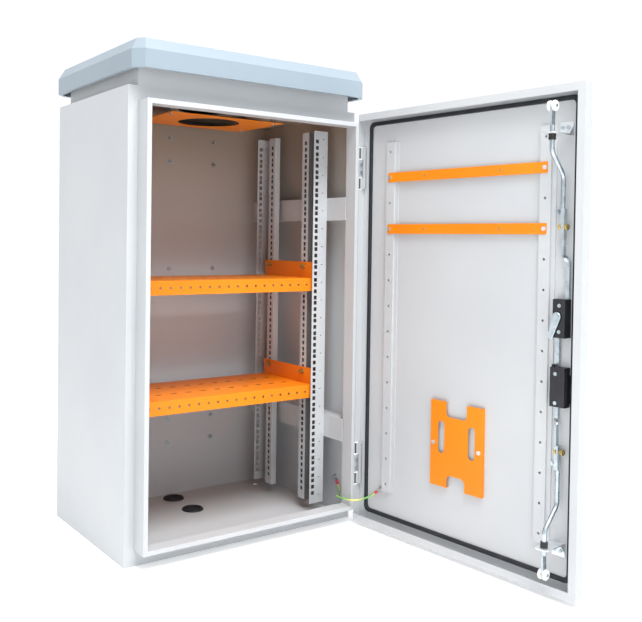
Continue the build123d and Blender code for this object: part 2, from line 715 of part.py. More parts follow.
def door_panel():
    """The door: a folded tray, notched beside the hinge arms."""
    height = (DOOR_LOW, DOOR_HIGH)
    free = DOOR_WIDTH
    panel = door_block((0, free), (0, FREE_FLANGE), height)
    uprights = panel.edges().filter_by(Axis.Z).group_by(Axis.Y)[0]
    panel = fillet(uprights, SHEET * 1.2)
    inside = (height[0] + SHEET, height[1] - SHEET)
    panel -= door_block((SHEET, free - SHEET), (SHEET, FREE_FLANGE - SHEET), inside)
    mouth = (height[0] + FREE_LIP, height[1] - FREE_LIP)
    panel -= door_block((-1, free - FREE_LIP), (FREE_FLANGE - SHEET - 1, FREE_FLANGE + 1), mouth)
    hinge_side = (-1, SHEET + 1)
    panel -= door_block(hinge_side, (HINGE_FLANGE, FREE_FLANGE + 1), (height[0] - 1, height[1] + 1))
    cuts = []
    for low in HINGE_LOWS:
        for zone in hinge_zones(low):
            notch = (zone[0] - NOTCH_MARGIN, zone[1] + NOTCH_MARGIN)
            cuts.append(door_block(hinge_side, (NOTCH_START, HINGE_FLANGE + 1), notch))
    cuts.append(door_drum(LOCK_ACROSS, LOCK_HEIGHT, (-1, SHEET + 1), COLLAR_RADIUS + COLLAR_CLEAR))
    cuts.append(door_drum(LOCK_ACROSS, PLUG_HEIGHT, (-1, SHEET + 1), PLUG_RADIUS + PLUG_CLEAR))
    return hang(panel - cuts)


def door_gasket():
    """The soft seal on the door's inner face that meets the rim."""
    middle_x = (OPEN_X + RIM_X) / 2 + GASKET_OFFSET / 2
    low = (RIM_FOOT + OPEN_LOW) / 2
    high = (RIM_HIGH + OPEN_HIGH) / 2
    width = 2 * middle_x
    height = high - low
    half = GASKET_WIDTH / 2
    outer = RectangleRounded(width + GASKET_WIDTH, height + GASKET_WIDTH, GASKET_ROUND)
    inner = RectangleRounded(width - GASKET_WIDTH, height - GASKET_WIDTH, GASKET_ROUND - half)
    deep = DOOR_GAP - SHEET - GAP
    ring = extrude(outer - inner, deep)
    crown = ring.faces().sort_by(Axis.Z)[-1].edges()
    ring = fillet(crown, half * 0.5)
    placed = Pos(0, door_y(SHEET), (low + high) / 2) * Rot(-90, 0, 0) * ring
    return hang(placed)


def door_strip(middle):
    """A perforated strip down the door, its face stood off the panel."""
    edge = middle + STRIP_FACE / 2
    z = (STRIP_LOW, STRIP_HIGH)
    face = door_block((middle - STRIP_FACE / 2, edge), (STRIP_TOP - SHEET, STRIP_TOP), z)
    web = door_block((edge - SHEET, edge), (SHEET, STRIP_TOP), z)
    foot = door_block((edge - SHEET, edge + STRIP_FOOT), (SHEET, 2 * SHEET), z)
    holes = []
    for index in range(STRIP_STEPS + 1):
        height = STRIP_FIRST + index * STRIP_PITCH
        holes.append(door_drum(middle, height, (SHEET + 1, STRIP_TOP + 1), STRIP_HOLE))
    return hang(face + web + foot - holes)


def cross_bar(low):
    """A flat bar screwed across the two strips."""
    deep = (STRIP_TOP, STRIP_TOP + SHEET)
    bar = door_block((BAR_EDGE, DOOR_WIDTH - BAR_EDGE), deep, (low, low + BAR_HEIGHT))
    corners = bar.edges().filter_by(Axis.Y)
    bar = fillet(corners, BAR_ROUND)
    height = low + BAR_HEIGHT / 2
    middle = DOOR_WIDTH / 2
    holes = []
    for across in STRIPS:
        holes.append(door_drum(across, height, (deep[0] - 1, deep[1] + 1), SCREW_RADIUS))
    for across in (middle - BAR_HOLE_OFFSET, middle + BAR_HOLE_OFFSET):
        holes.append(door_drum(across, height, (deep[0] - 1, deep[1] + 1), STRIP_HOLE))
    return hang(bar - holes)


def cross_bar_screws():
    """Pan-head screws that hold the cross bars and the document holder."""
    screws = []
    for low in BAR_LOWS:
        for across in STRIPS:
            height = low + BAR_HEIGHT / 2
            base = STRIP_TOP + SHEET
            head = door_drum(across, height, (base, base + HEAD_HEIGHT), HEAD_RADIUS)
            screws.append(head + door_drum(across, height, (STRIP_TOP - SHEET, base), SCREW_RADIUS))
    edge = HOLDER_WIDTH / 2 - 2 * HEAD_RADIUS
    height = HOLDER_LOW + HOLDER_HEIGHT / 2
    for across in (DOOR_WIDTH / 2 - edge, DOOR_WIDTH / 2 + edge):
        head = door_drum(across, height, (HOLDER_DEEP, HOLDER_DEEP + HEAD_HEIGHT), HEAD_RADIUS)
        screws.append(head + door_drum(across, height, (SHEET, HOLDER_DEEP), SCREW_RADIUS))
    return hang(group(screws))


def document_holder():
    """A shallow pocket with a thumb notch, a lower arch and two hand slots."""
    middle = DOOR_WIDTH / 2
    half = HOLDER_WIDTH / 2
    z = (HOLDER_LOW, HOLDER_LOW + HOLDER_HEIGHT)
    deep = (SHEET, HOLDER_DEEP)
    tray = door_block((middle - half, middle + half), deep, z)
    inside = (middle - half + SHEET, middle + half - SHEET)
    tray -= door_block(inside, (deep[0] - 1, deep[1] - SHEET), (z[0] + SHEET, z[1] + 1))
    through = (deep[0] - 1, deep[1] + 1)
    notch = NOTCH_WIDTH / 2
    inner = notch - NOTCH_ROUND
    floor = z[1] - NOTCH_DEPTH
    cuts = [door_block((middle - notch, middle + notch), through, (floor + NOTCH_ROUND, z[1] + 1))]
    cuts.append(door_block((middle - inner, middle + inner), through, (floor, z[1])))
    for across in (middle - inner, middle + inner):
        cuts.append(door_drum(across, floor + NOTCH_ROUND, through, NOTCH_ROUND))
    arch = ARCH_WIDTH / 2
    inner = arch - ARCH_ROUND
    crown = z[0] + ARCH_HEIGHT
    cuts.append(door_block((middle - arch, middle + arch), through, (z[0] - 1, crown - ARCH_ROUND)))
    cuts.append(door_block((middle - inner, middle + inner), through, (z[0], crown)))
    for across in (middle - inner, middle + inner):
        cuts.append(door_drum(across, crown - ARCH_ROUND, through, ARCH_ROUND))
    slot = HAND_SLOT_WIDTH / 2
    reach = HAND_SLOT_HEIGHT / 2 - slot
    for across in (middle - HAND_SLOT_OFFSET, middle + HAND_SLOT_OFFSET):
        ends = (z[0] + HAND_SLOT_RISE - reach, z[0] + HAND_SLOT_RISE + reach)
        cuts.append(door_block((across - slot, across + slot), through, ends))
        for height in ends:
            cuts.append(door_drum(across, height, through, slot))
    edge = half - 2 * HEAD_RADIUS
    for across in (middle - edge, middle + edge):
        cuts.append(door_drum(across, z[0] + HOLDER_HEIGHT / 2, through, SCREW_RADIUS))
    return hang(tray - cuts)


def gear_outline():
    """The pinion's outline: involute flanks from a formula, between root and tip circles."""
    base = PITCH_RADIUS * cos(radians(GEAR_ANGLE))
    tip = PITCH_RADIUS + GEAR_MODULE
    root = PITCH_RADIUS - 1.25 * GEAR_MODULE
    flat = tan(radians(GEAR_ANGLE)) - radians(GEAR_ANGLE)
    half_tooth = pi / (2 * GEAR_TEETH) + flat - GEAR_BACKLASH / (2 * PITCH_RADIUS)
    flank = [(root, half_tooth)]
    for step in range(4):
        radius = base + (tip - base) * step / 3
        unwind = (radius ** 2 / base ** 2 - 1) ** 0.5
        flank.append((radius, half_tooth - (unwind - atan2(unwind, 1))))
    points = []
    for tooth in range(GEAR_TEETH):
        middle = tooth * 2 * pi / GEAR_TEETH
        points += [(r * cos(middle - a), r * sin(middle - a)) for r, a in flank]
        points += [(r * cos(middle + a), r * sin(middle + a)) for r, a in reversed(flank)]
    return make_face(Polyline(*points, close=True))


def lock_spindle():
    """The turned spindle: hub and lug outside, collar, pinion and riveted end inside."""
    at = (LOCK_ACROSS, LOCK_HEIGHT)
    hub_low = -BASE_THICK - GAP
    hub_high = hub_low - HUB_HEIGHT
    spindle = door_drum(at[0], at[1], (hub_high, hub_low), HUB_RADIUS)
    spindle += door_drum(at[0], at[1], (hub_low - 1, GEAR_START), COLLAR_RADIUS)
    spindle += door_drum(at[0], at[1], (GEAR_START, CAM_START + CAM_THICK), SHAFT_RADIUS)
    head = (CAM_START + CAM_THICK, CAM_START + CAM_THICK + RIVET_HEIGHT)
    spindle += door_drum(at[0], at[1], head, RIVET_RADIUS)
    gear = Rot(-90, 0, 0) * extrude(gear_outline(), BAR_THICK)
    spindle += Pos(door_x(at[0]), door_y(GEAR_START), at[1]) * gear
    pivot = hub_high - PIVOT_RISE
    lug_z = (at[1] - LUG_WIDTH / 2, at[1] + LUG_WIDTH / 2)
    lug = door_block((at[0] - LUG_RADIUS, at[0] + LUG_RADIUS), (pivot, hub_high), lug_z)
    lug += drum("z", lug_z[0], lug_z[1], LUG_RADIUS, (door_x(at[0]), door_y(pivot)))
    lug -= drum("z", lug_z[0] - 1, lug_z[1] + 1, LEVER_PIN + FIT, (door_x(at[0]), door_y(pivot)))
    return hang(spindle + lug)


def lock_cam():
    """The thumb-turn cam on the spindle's inner end."""
    boss = Circle(CAM_BOSS)
    tip = Pos(0, -CAM_LENGTH) * Circle(CAM_TIP)
    outline = make_hull((boss + tip).edges())
    cam = extrude(outline, CAM_THICK)
    rim = cam.faces().sort_by(Axis.Z)[-1].edges()
    cam = chamfer(rim, CAM_EDGE)
    cam -= Cylinder(SHAFT_RADIUS, 4 * CAM_THICK)
    upright = Rot(90, 0, 0) * Rot(0, 0, CAM_ANGLE) * cam
    upright = mirror(upright, Plane.XZ)
    return hang(Pos(door_x(LOCK_ACROSS), door_y(CAM_START), LOCK_HEIGHT) * upright)


def rack_teeth(side, travel_side):
    """The spaces between rack teeth, cut into the bar's inner edge."""
    pitch = pi * GEAR_MODULE
    slope = tan(radians(GEAR_ANGLE))
    tip = PITCH_RADIUS - GEAR_MODULE
    root = PITCH_RADIUS + 1.25 * GEAR_MODULE
    half = pitch / 4 + GEAR_BACKLASH / 4
    mouth = half + (GEAR_MODULE + 0.5) * slope
    floor = half - 1.25 * GEAR_MODULE * slope
    spaces = []
    for index in range(-6, 7):
        if abs(index * pitch + travel_side * LOCK_TRAVEL / 2) > LOCK_TRAVEL / 2 + 2.2 * pitch:
            continue
        z = LOCK_HEIGHT + index * pitch
        corners = [(tip - 0.5, -mouth), (root, -floor), (root, floor), (tip - 0.5, mouth)]
        points = [(door_x(LOCK_ACROSS + side * across), z + rise) for across, rise in corners]
        face = Plane.XZ * make_face(Polyline(*points, close=True))
        spaces.append(Pos(0, door_y(GEAR_START - 1), 0) * extrude(face, -(BAR_THICK + 2)))
    return spaces


def rack_bar(index):
    """A rack bar: teeth at the pinion, a straight run, a quarter twist and a drilled end."""
    side, up = ((1, 1), (-1, -1))[index]
    tip = PITCH_RADIUS - GEAR_MODULE
    inner = LOCK_ACROSS + side * tip
    outer = inner + side * RACK_WIDTH
    across = (min(inner, outer), max(inner, outer))
    start = LOCK_HEIGHT - up * RACK_ENDS[1]
    turn_at = LOCK_HEIGHT + up * TWIST_STARTS[index]
    height = (min(start, turn_at), max(start, turn_at))
    bar = door_block(across, (GEAR_START, GEAR_START + BAR_THICK), height)
    bar -= rack_teeth(side, up)
    turned_across = LOCK_ACROSS + side * (TONGUE_THICK / 2 + BAR_THICK / 2)
    sections = []
    for step in range(5):
        share = step / 4
        where = (across[0] + across[1]) / 2 * (1 - share) + turned_across * share
        deep = (GEAR_START + BAR_THICK / 2) * (1 - share) + ROD_DEEP * share
        z = turn_at + up * TWIST_LENGTH * share
        section = Rot(0, 0, 90 * share * side) * Rectangle(RACK_WIDTH, BAR_THICK)
        sections.append(Pos(door_x(where), door_y(deep), z) * section)
    twist = loft(sections if up > 0 else sections[::-1], ruled=True)
    end = LOCK_HEIGHT + up * TURNED_ENDS[index]
    after = turn_at + up * TWIST_LENGTH
    height = (min(after, end), max(after, end))
    half = BAR_THICK / 2
    deep = (ROD_DEEP - RACK_WIDTH / 2, ROD_DEEP + RACK_WIDTH / 2)
    tail = door_block((turned_across - half, turned_across + half), deep, height)
    bolt_z = LOCK_HEIGHT + up * JOINT_BOLTS[index]
    tail -= door_bar((turned_across - 5, turned_across + 5), ROD_DEEP, bolt_z, SCREW_RADIUS)
    return hang(bar + twist + tail)


def lock_rod(index):
    """A round rod, flattened where it bolts on and where it carries the rollers."""
    up = (1, -1)[index]
    first = LOCK_HEIGHT + up * (JOINT_BOLTS[index] - TONGUE_MARGIN)
    tongue_end = LOCK_HEIGHT + up * TURNED_ENDS[index]
    bend_start = LOCK_HEIGHT + up * BEND_STARTS[index]
    bend_end = bend_start + up * BEND_LENGTH
    roller = LOCK_HEIGHT + up * ROLLER_REACH[index]
    flat_start = roller - up * TONGUE_LENGTH
    x = door_x(LOCK_ACROSS)
    near = door_y(ROD_DEEP)
    far = door_y(ROD_OUT)
    points = [(x, near, tongue_end), (x, near, bend_start), (x, far, bend_end), (x, far, flat_start)]
    path = FilletPolyline(*points, radius=BEND_RADIUS)
    rod = sweep(Plane(origin=points[0], z_dir=(0, 0, up)) * Circle(ROD_RADIUS), path)
    half = TONGUE_THICK / 2
    across = (LOCK_ACROSS - half, LOCK_ACROSS + half)
    width = TONGUE_WIDTH / 2
    low = (min(first, tongue_end), max(first, tongue_end))
    rod += door_block(across, (ROD_DEEP - RACK_WIDTH / 2, ROD_DEEP + RACK_WIDTH / 2), low)
    tongue = (min(flat_start, roller), max(flat_start, roller))
    rod += door_block(across, (ROD_OUT - width, ROD_OUT + width), tongue)
    rod += door_bar(across, ROD_OUT, roller, width)
    reach = half + ROLLER_WIDTH + 2 * GAP
    pin = door_bar((LOCK_ACROSS - reach, LOCK_ACROSS + reach), ROD_OUT, roller, ROLLER_PIN)
    for side in (-1, 1):
        ends = sorted((LOCK_ACROSS + side * reach, LOCK_ACROSS + side * (reach + ROLLER_PIN_EDGE)))
        pin += door_bar(ends, ROD_OUT, roller, ROLLER_PIN_HEAD)
    bolt_z = LOCK_HEIGHT + up * JOINT_BOLTS[index]
    rod -= door_bar((across[0] - 3, across[1] + 3), ROD_DEEP, bolt_z, SCREW_RADIUS)
    return hang(rod + pin)


def joint_bolt(index):
    """The bolt and nut that join a rack bar to its rod."""
    side, up = ((1, 1), (-1, -1))[index]
    z = LOCK_HEIGHT + up * JOINT_BOLTS[index]
    inner = LOCK_ACROSS - side * TONGUE_THICK / 2
    outer = LOCK_ACROSS + side * (TONGUE_THICK / 2 + BAR_THICK)
    ends = sorted((inner, outer))
    bolt = door_bar(ends, ROD_DEEP, z, SCREW_RADIUS)
    hexagon = Rot(0, 90, 0) * extrude(RegularPolygon(HEAD_RADIUS, 6), JOINT_NUT)
    near = Pos(door_x(ends[1]) - JOINT_NUT, door_y(ROD_DEEP), z) * hexagon
    far = Pos(door_x(ends[0]), door_y(ROD_DEEP), z) * hexagon
    return hang(bolt + near + far)


def roller(index, side):
    """A plastic roller that runs behind the rim."""
    up = (1, -1)[index]
    z = LOCK_HEIGHT + up * ROLLER_REACH[index]
    inner = TONGUE_THICK / 2 + GAP
    ends = sorted((LOCK_ACROSS + side * inner, LOCK_ACROSS + side * (inner + ROLLER_WIDTH)))
    wheel = door_bar(ends, ROD_OUT, z, ROLLER_RADIUS)
    rims = wheel.edges().filter_by(GeomType.CIRCLE)
    wheel = fillet(rims, ROLLER_ROUND)
    return hang(wheel - door_bar((ends[0] - 1, ends[1] + 1), ROD_OUT, z, ROLLER_PIN + FIT))


def guide_bracket(index):
    """An angle with a gusset that carries a rod's bush."""
    up = (1, -1)[index]
    shelf_z = LOCK_HEIGHT + up * GUIDE_REACH[index]
    plate_z = sorted((shelf_z, shelf_z + up * GUIDE_SHEET))
    foot_z = sorted((shelf_z, shelf_z + up * GUIDE_FOOT))
    across = (LOCK_ACROSS - GUIDE_WIDTH / 2, LOCK_ACROSS + GUIDE_WIDTH / 2)
    bracket = door_block(across, (SHEET, SHEET + GUIDE_SHEET), foot_z)
    bracket += door_block(across, (SHEET, GUIDE_DEEP), plate_z)
    corners = bracket.edges().filter_by(Axis.Z).group_by(Axis.Y)[-1]
    bracket = fillet(corners, GUIDE_ROUND)
    rise = up * (GUIDE_FOOT - GUSSET_MARGIN)
    inner = (door_y(SHEET + GUIDE_SHEET / 2), shelf_z + up * GUIDE_SHEET / 2)
    points = [inner, (inner[0] + GUSSET_LENGTH, inner[1]), (inner[0], inner[1] + rise)]
    web = Plane.YZ * make_face(Polyline(*points, close=True))
    web_x = door_x(across[1])
    bracket += Pos(web_x, 0, 0) * extrude(web, GUIDE_SHEET)
    at = (door_x(LOCK_ACROSS), door_y(ROD_OUT))
    hole = drum("z", plate_z[0] - 1, plate_z[1] + 1, BUSH_NECK, at)
    return hang(bracket - hole)


def bush(index):
    """A plastic bush that guides the rod through its bracket."""
    up = (1, -1)[index]
    shelf_z = LOCK_HEIGHT + up * GUIDE_REACH[index]
    at = (door_x(LOCK_ACROSS), door_y(ROD_OUT))
    body = sorted((shelf_z - up * BUSH_HEIGHT, shelf_z))
    neck = sorted((shelf_z, shelf_z + up * GUIDE_SHEET))
    piece = drum("z", body[0], body[1], BUSH_RADIUS, at)
    piece += drum("z", neck[0], neck[1], BUSH_NECK, at)
    bore = drum("z", shelf_z - 2 * BUSH_HEIGHT, shelf_z + 2 * BUSH_HEIGHT, ROD_RADIUS + GAP, at)
    return hang(piece - bore)


def gear_housing():
    """The black housing over pinion and racks, open towards the panel."""
    z = (LOCK_HEIGHT - HOUSING_LOW, LOCK_HEIGHT + HOUSING_HIGH)
    reach = PITCH_RADIUS - GEAR_MODULE + RACK_WIDTH + GAP
    wide = (LOCK_ACROSS - reach - HOUSING_WALL, LOCK_ACROSS + reach + HOUSING_WALL)
    middle = LOCK_ACROSS + HOUSING_SHIFT
    narrow = (middle - HOUSING_HALF, middle + HOUSING_HALF - 1)
    block_low = door_block(wide, (SHEET, HOUSING_STEP), z)
    block_high = door_block(narrow, (HOUSING_STEP - 1, HOUSING_DEEP), z)
    edges = block_high.faces().sort_by(Axis.Y)[-1].edges()
    block_high = fillet(edges, HOUSING_ROUND)
    inside_z = (z[0] + HOUSING_WALL, z[1] - HOUSING_WALL)
    inner_low = door_block((LOCK_ACROSS - reach, LOCK_ACROSS + reach),
                           (SHEET - 1, HOUSING_STEP - HOUSING_WALL), inside_z)
    inner_high = door_block((narrow[0] + HOUSING_LID, narrow[1] - HOUSING_LID),
                            (HOUSING_STEP - 3, HOUSING_DEEP - HOUSING_LID),
                            (inside_z[0] + 1, inside_z[1] - 1))
    housing = block_low + block_high - inner_low - inner_high
    tip = PITCH_RADIUS - GEAR_MODULE - GAP
    deep = (GEAR_START - GAP, GEAR_START + BAR_THICK + GAP)
    upper = (LOCK_ACROSS + tip, LOCK_ACROSS + reach)
    lower = (LOCK_ACROSS - reach, LOCK_ACROSS - tip)
    housing -= door_block(upper, deep, (inside_z[1] - 1, z[1] + 1))
    housing -= door_block(lower, deep, (z[0] - 1, inside_z[0] + 1))
    bore = door_drum(LOCK_ACROSS, LOCK_HEIGHT, (HOUSING_DEEP - 3, HOUSING_DEEP + 1), SHAFT_RADIUS + FIT)
    return hang(housing - bore)


def lock_housing():
    """The black housing over the key lock; the lower rack bar runs through it."""
    z = (LOCK_BOX_LOW, LOCK_BOX_HIGH)
    tip = PITCH_RADIUS - GEAR_MODULE
    low = LOCK_ACROSS - tip - RACK_WIDTH - GAP
    across = (low - HOUSING_WALL, LOCK_ACROSS + HOUSING_SHIFT + HOUSING_HALF)
    box = door_block(across, (SHEET, LOCK_BOX_DEEP), z)
    edges = box.faces().sort_by(Axis.Y)[-1].edges()
    box = fillet(edges, HOUSING_ROUND)
    inside = (low, across[1] - HOUSING_WALL)
    bulge_z = (z[0] + BULGE_MARGIN, z[1] - 2 * BULGE_MARGIN)
    box += door_block((across[1] - 1, across[1] + BULGE), (SHEET, LOCK_BOX_DEEP - BULGE_MARGIN), bulge_z)
    catch = (across[0] + 1, across[0] + 1 + CATCH_SIDE)
    box += door_block(catch, (LOCK_BOX_DEEP - 2 * CATCH_SIDE, LOCK_BOX_DEEP - CATCH_SIDE),
                      (z[1] - 1, z[1] + CATCH_SIDE))
    inside_z = (z[0] + HOUSING_LID, z[1] - HOUSING_LID)
    box -= door_block(inside, (SHEET - 1, LOCK_BOX_DEEP - HOUSING_LID), inside_z)
    deep = (GEAR_START - GAP, GEAR_START + BAR_THICK + GAP)
    passage = (low, LOCK_ACROSS - tip + GAP)
    return hang(box - door_block(passage, deep, (z[0] - 1, z[1] + 1)))


def door_fixing_screws():
    """Screws of the hinge leaves, the two housings and the two guide brackets."""
    screws = []
    radius = HEAD_RADIUS * 0.8
    for low in HINGE_LOWS:
        middle = sum(leaf_zone(low)) / 2
        for height in (middle - LEAF_SCREW_RISE, middle + LEAF_SCREW_RISE):
            ends = (2 * SHEET, 2 * SHEET + HEAD_HEIGHT)
            screws.append(door_bar(ends, LEAF_SCREW_DEEP, height, radius))
    gear_low = LOCK_HEIGHT - HOUSING_LOW + HOUSING_SCREW_INSET
    gear_high = LOCK_HEIGHT + HOUSING_HIGH - HOUSING_SCREW_INSET
    for height in (gear_low, gear_high):
        deep = (HOUSING_DEEP, HOUSING_DEEP + HOUSING_SCREW_HEAD)
        screws.append(door_drum(LOCK_ACROSS + HOUSING_SCREW_SHIFT, height, deep, radius))
    for height in (LOCK_BOX_LOW + LOCK_BOX_SCREWS[0], LOCK_BOX_HIGH - LOCK_BOX_SCREWS[1]):
        deep = (LOCK_BOX_DEEP, LOCK_BOX_DEEP + HEAD_HEIGHT)
        screws.append(door_drum(LOCK_ACROSS - LOCK_BOX_SCREW_SHIFT, height, deep, radius))
    for index, up in ((0, 1), (1, -1)):
        height = LOCK_HEIGHT + up * (GUIDE_REACH[index] + GUIDE_FOOT / 2 + GUIDE_SCREW_RISE)
        deep = (SHEET + GUIDE_SHEET, SHEET + GUIDE_SHEET + HEAD_HEIGHT)
        for shift in GUIDE_SCREWS:
            screws.append(door_drum(LOCK_ACROSS + shift, height, deep, radius))
    return hang(group(screws))


def door_studs():
    """Welded studs with domed nuts on the door's inner face."""
    studs = []
    for shift, offset in zip(STUD_SHIFTS, STUD_OFFSETS):
        at = (LOCK_ACROSS - shift, LOCK_HEIGHT + offset)
        stud = door_drum(*at, (SHEET, SHEET + STUD_HEIGHT), STUD_RADIUS)
        studs.append(stud + door_drum(*at, (SHEET, SHEET + DOME_HEIGHT), DOME_RADIUS))
    return hang(group(studs))


def handle_base():
    """The long plate of the swing handle, on the door's outer face."""
    half = BASE_WIDTH / 2
    across = (LOCK_ACROSS - half, LOCK_ACROSS + half)
    height = (LOCK_HEIGHT - BASE_DROP, LOCK_HEIGHT + BASE_RISE)
    plate = door_block(across, (-BASE_THICK, 0), height)
    plate = fillet(plate.edges().filter_by(Axis.Y), BASE_ROUND)
    face_edges = plate.faces().sort_by(Axis.Y)[0].edges()
    plate = fillet(face_edges, BASE_EDGE)
    at = (-BASE_THICK - 1, 1)
    plate -= door_drum(LOCK_ACROSS, LOCK_HEIGHT, at, COLLAR_RADIUS + FIT)
    return hang(plate - door_drum(LOCK_ACROSS, PLUG_HEIGHT, at, PLUG_RADIUS + FIT))


def lock_plug():
    """The key plug, with its keyway, turning in the handle base."""
    deep = (-BASE_THICK - 1, GEAR_START - 2 * GAP)
    plug = door_drum(LOCK_ACROSS, PLUG_HEIGHT, deep, PLUG_RADIUS)
    height = (PLUG_HEIGHT - KEYWAY_HEIGHT / 2, PLUG_HEIGHT + KEYWAY_HEIGHT / 2)
    across = (LOCK_ACROSS - KEYWAY_WIDTH / 2, LOCK_ACROSS + KEYWAY_WIDTH / 2)
    keyway = door_block(across, (deep[0] - 1, deep[0] + KEYWAY_DEEP), height)
    return hang(plug - keyway)


def pivot_place():
    """The lever's pivot axis, in depth on the closed door."""
    return -BASE_THICK - GAP - HUB_HEIGHT - PIVOT_RISE


def handle_lever():
    """The lever: two ears around the spindle's lug and a tapering grip."""
    pivot = pivot_place()
    half = LEVER_WIDTH / 2
    low = pivot - LEVER_THICK / 2
    high = pivot + LEVER_THICK / 2
    z = (LOCK_HEIGHT - half, LOCK_HEIGHT + half)
    end = LOCK_ACROSS - LEVER_LENGTH
    grip = door_block((end, LOCK_ACROSS), (low, high), z)
    corners = grip.edges().filter_by(Axis.Y).group_by(Axis.X)[-1]
    grip = fillet(corners, LEVER_ROUND)
    grip += drum("z", z[0], z[1], LEVER_THICK / 2, (door_x(LOCK_ACROSS), door_y(pivot)))
    lug = LUG_WIDTH / 2 + GAP
    gap_z = (LOCK_HEIGHT - lug, LOCK_HEIGHT + lug)
    slot = (LOCK_ACROSS - LEVER_SLOT, LOCK_ACROSS + LEVER_THICK)
    grip -= door_block(slot, (low - 1, high + 1), gap_z)
    at = (door_x(LOCK_ACROSS), door_y(pivot))
    return hang(grip - drum("z", z[0] - 1, z[1] + 1, LEVER_PIN, at))


def lever_pin():
    """The cross pin that carries the lever."""
    half = LEVER_WIDTH / 2
    at = (door_x(LOCK_ACROSS), door_y(pivot_place()))
    return hang(drum("z", LOCK_HEIGHT - half, LOCK_HEIGHT + half, LEVER_PIN, at))


# Earth wire: studs on the right wall and on the door, and the way between them
BODY_STUD = (INNER_X, FRONT + BODY_STUD_SETBACK, BODY_STUD_HEIGHT)
BODY_LUG_TURN = 35.0
DOOR_STUD = (74.0, 97.0)
DOOR_LUG_TURN = 52.0
WIRE_MIDDLE = [(289.3, -177.6, 54), (278.4, -185.9, 51.2), (267.6, -193.2, 54.5), (258.7, -203.8, 58.2),
               (253.9, -217.2, 60.6), (253.4, -231.6, 61.5), (258.4, -245, 61.2), (266.6, -256.6, 61),
               (276.3, -266.6, 62), (284.6, -273.6, 65.2), (292.9, -280.6, 70.6)]


def earth_terminal():
    """A stud with its nut, a ring lug and a sleeve, on a wall at z = 0, the lug along +X."""
    ring = Cylinder(LUG_RING, LUG_THICK) - Cylinder(STUD_RADIUS, 2 * LUG_THICK)
    neck = block((STUD_RADIUS + 1, LUG_REACH), (-WIRE_RADIUS, WIRE_RADIUS), (-LUG_THICK / 2, LUG_THICK / 2))
    lug = Pos(0, 0, LUG_THICK / 2) * (ring + neck)
    stud = Pos(0, 0, LUG_RING) * Cylinder(STUD_RADIUS, 2 * LUG_RING)
    nut = Pos(0, 0, LUG_THICK) * extrude(RegularPolygon(LUG_RING, 6), 2 * LUG_RING / 3)
    sleeve = drum("x", LUG_REACH, WIRE_START, SLEEVE_RADIUS, (0, SLEEVE_RADIUS))
    return group([stud + nut, lug, sleeve])


def body_terminal_place():
    """The body terminal's frame: out of the right wall, the lug down and forwards."""
    turn = radians(BODY_LUG_TURN)
    return Plane(origin=BODY_STUD, x_dir=(0, -sin(turn), -cos(turn)), z_dir=(-1, 0, 0))


def door_terminal_place():
    """The door terminal's frame on the closed door: out of the panel, the lug down."""
    turn = radians(DOOR_LUG_TURN)
    origin = (door_x(DOOR_STUD[0]), door_y(SHEET), DOOR_STUD[1])
    return Plane(origin=origin, x_dir=(sin(turn), 0, -cos(turn)), z_dir=(0, 1, 0))


def wire_route():
    """The wire's corner points; it leaves each sleeve in the sleeve's own direction."""
    end = Pos(WIRE_START, 0, SLEEVE_RADIUS)
    lead = Pos(WIRE_START + WIRE_LEAD, 0, SLEEVE_RADIUS)
    body = body_terminal_place().location
    door = door_terminal_place().location
    first = [(body * end).position, (body * lead).position]
    last = [hang(door * lead).position, hang(door * end).position]
    return [*first, *[Vector(*point) for point in WIRE_MIDDLE], *last]


def corner_radii(points):
    """The largest arc that each corner's two runs allow."""
    radii = []
    for before, corner, after in zip(points, points[1:], points[2:]):
        first = corner - before
        second = after - corner
        turn = radians(first.get_angle(second))
        radii.append(0.45 * min(first.length, second.length) / tan(turn / 2))
    return radii


def earth_wire():
    """The green and yellow wire between the two earth studs, as a plain tube."""
    points = wire_route()
    radii = corner_radii(points)
    path = FilletPolyline(*points, radius=radii)
    print("earth wire radii:", [round(radius, 1) for radius in radii])
    print("earth wire length:", round(path.length, 1))
    start = Plane(origin=path @ 0, z_dir=path % 0)
    wire = sweep(start * Circle(WIRE_RADIUS), path)
    print("volume share:", round(wire.volume / (pi * WIRE_RADIUS ** 2 * path.length), 4))
    return wire


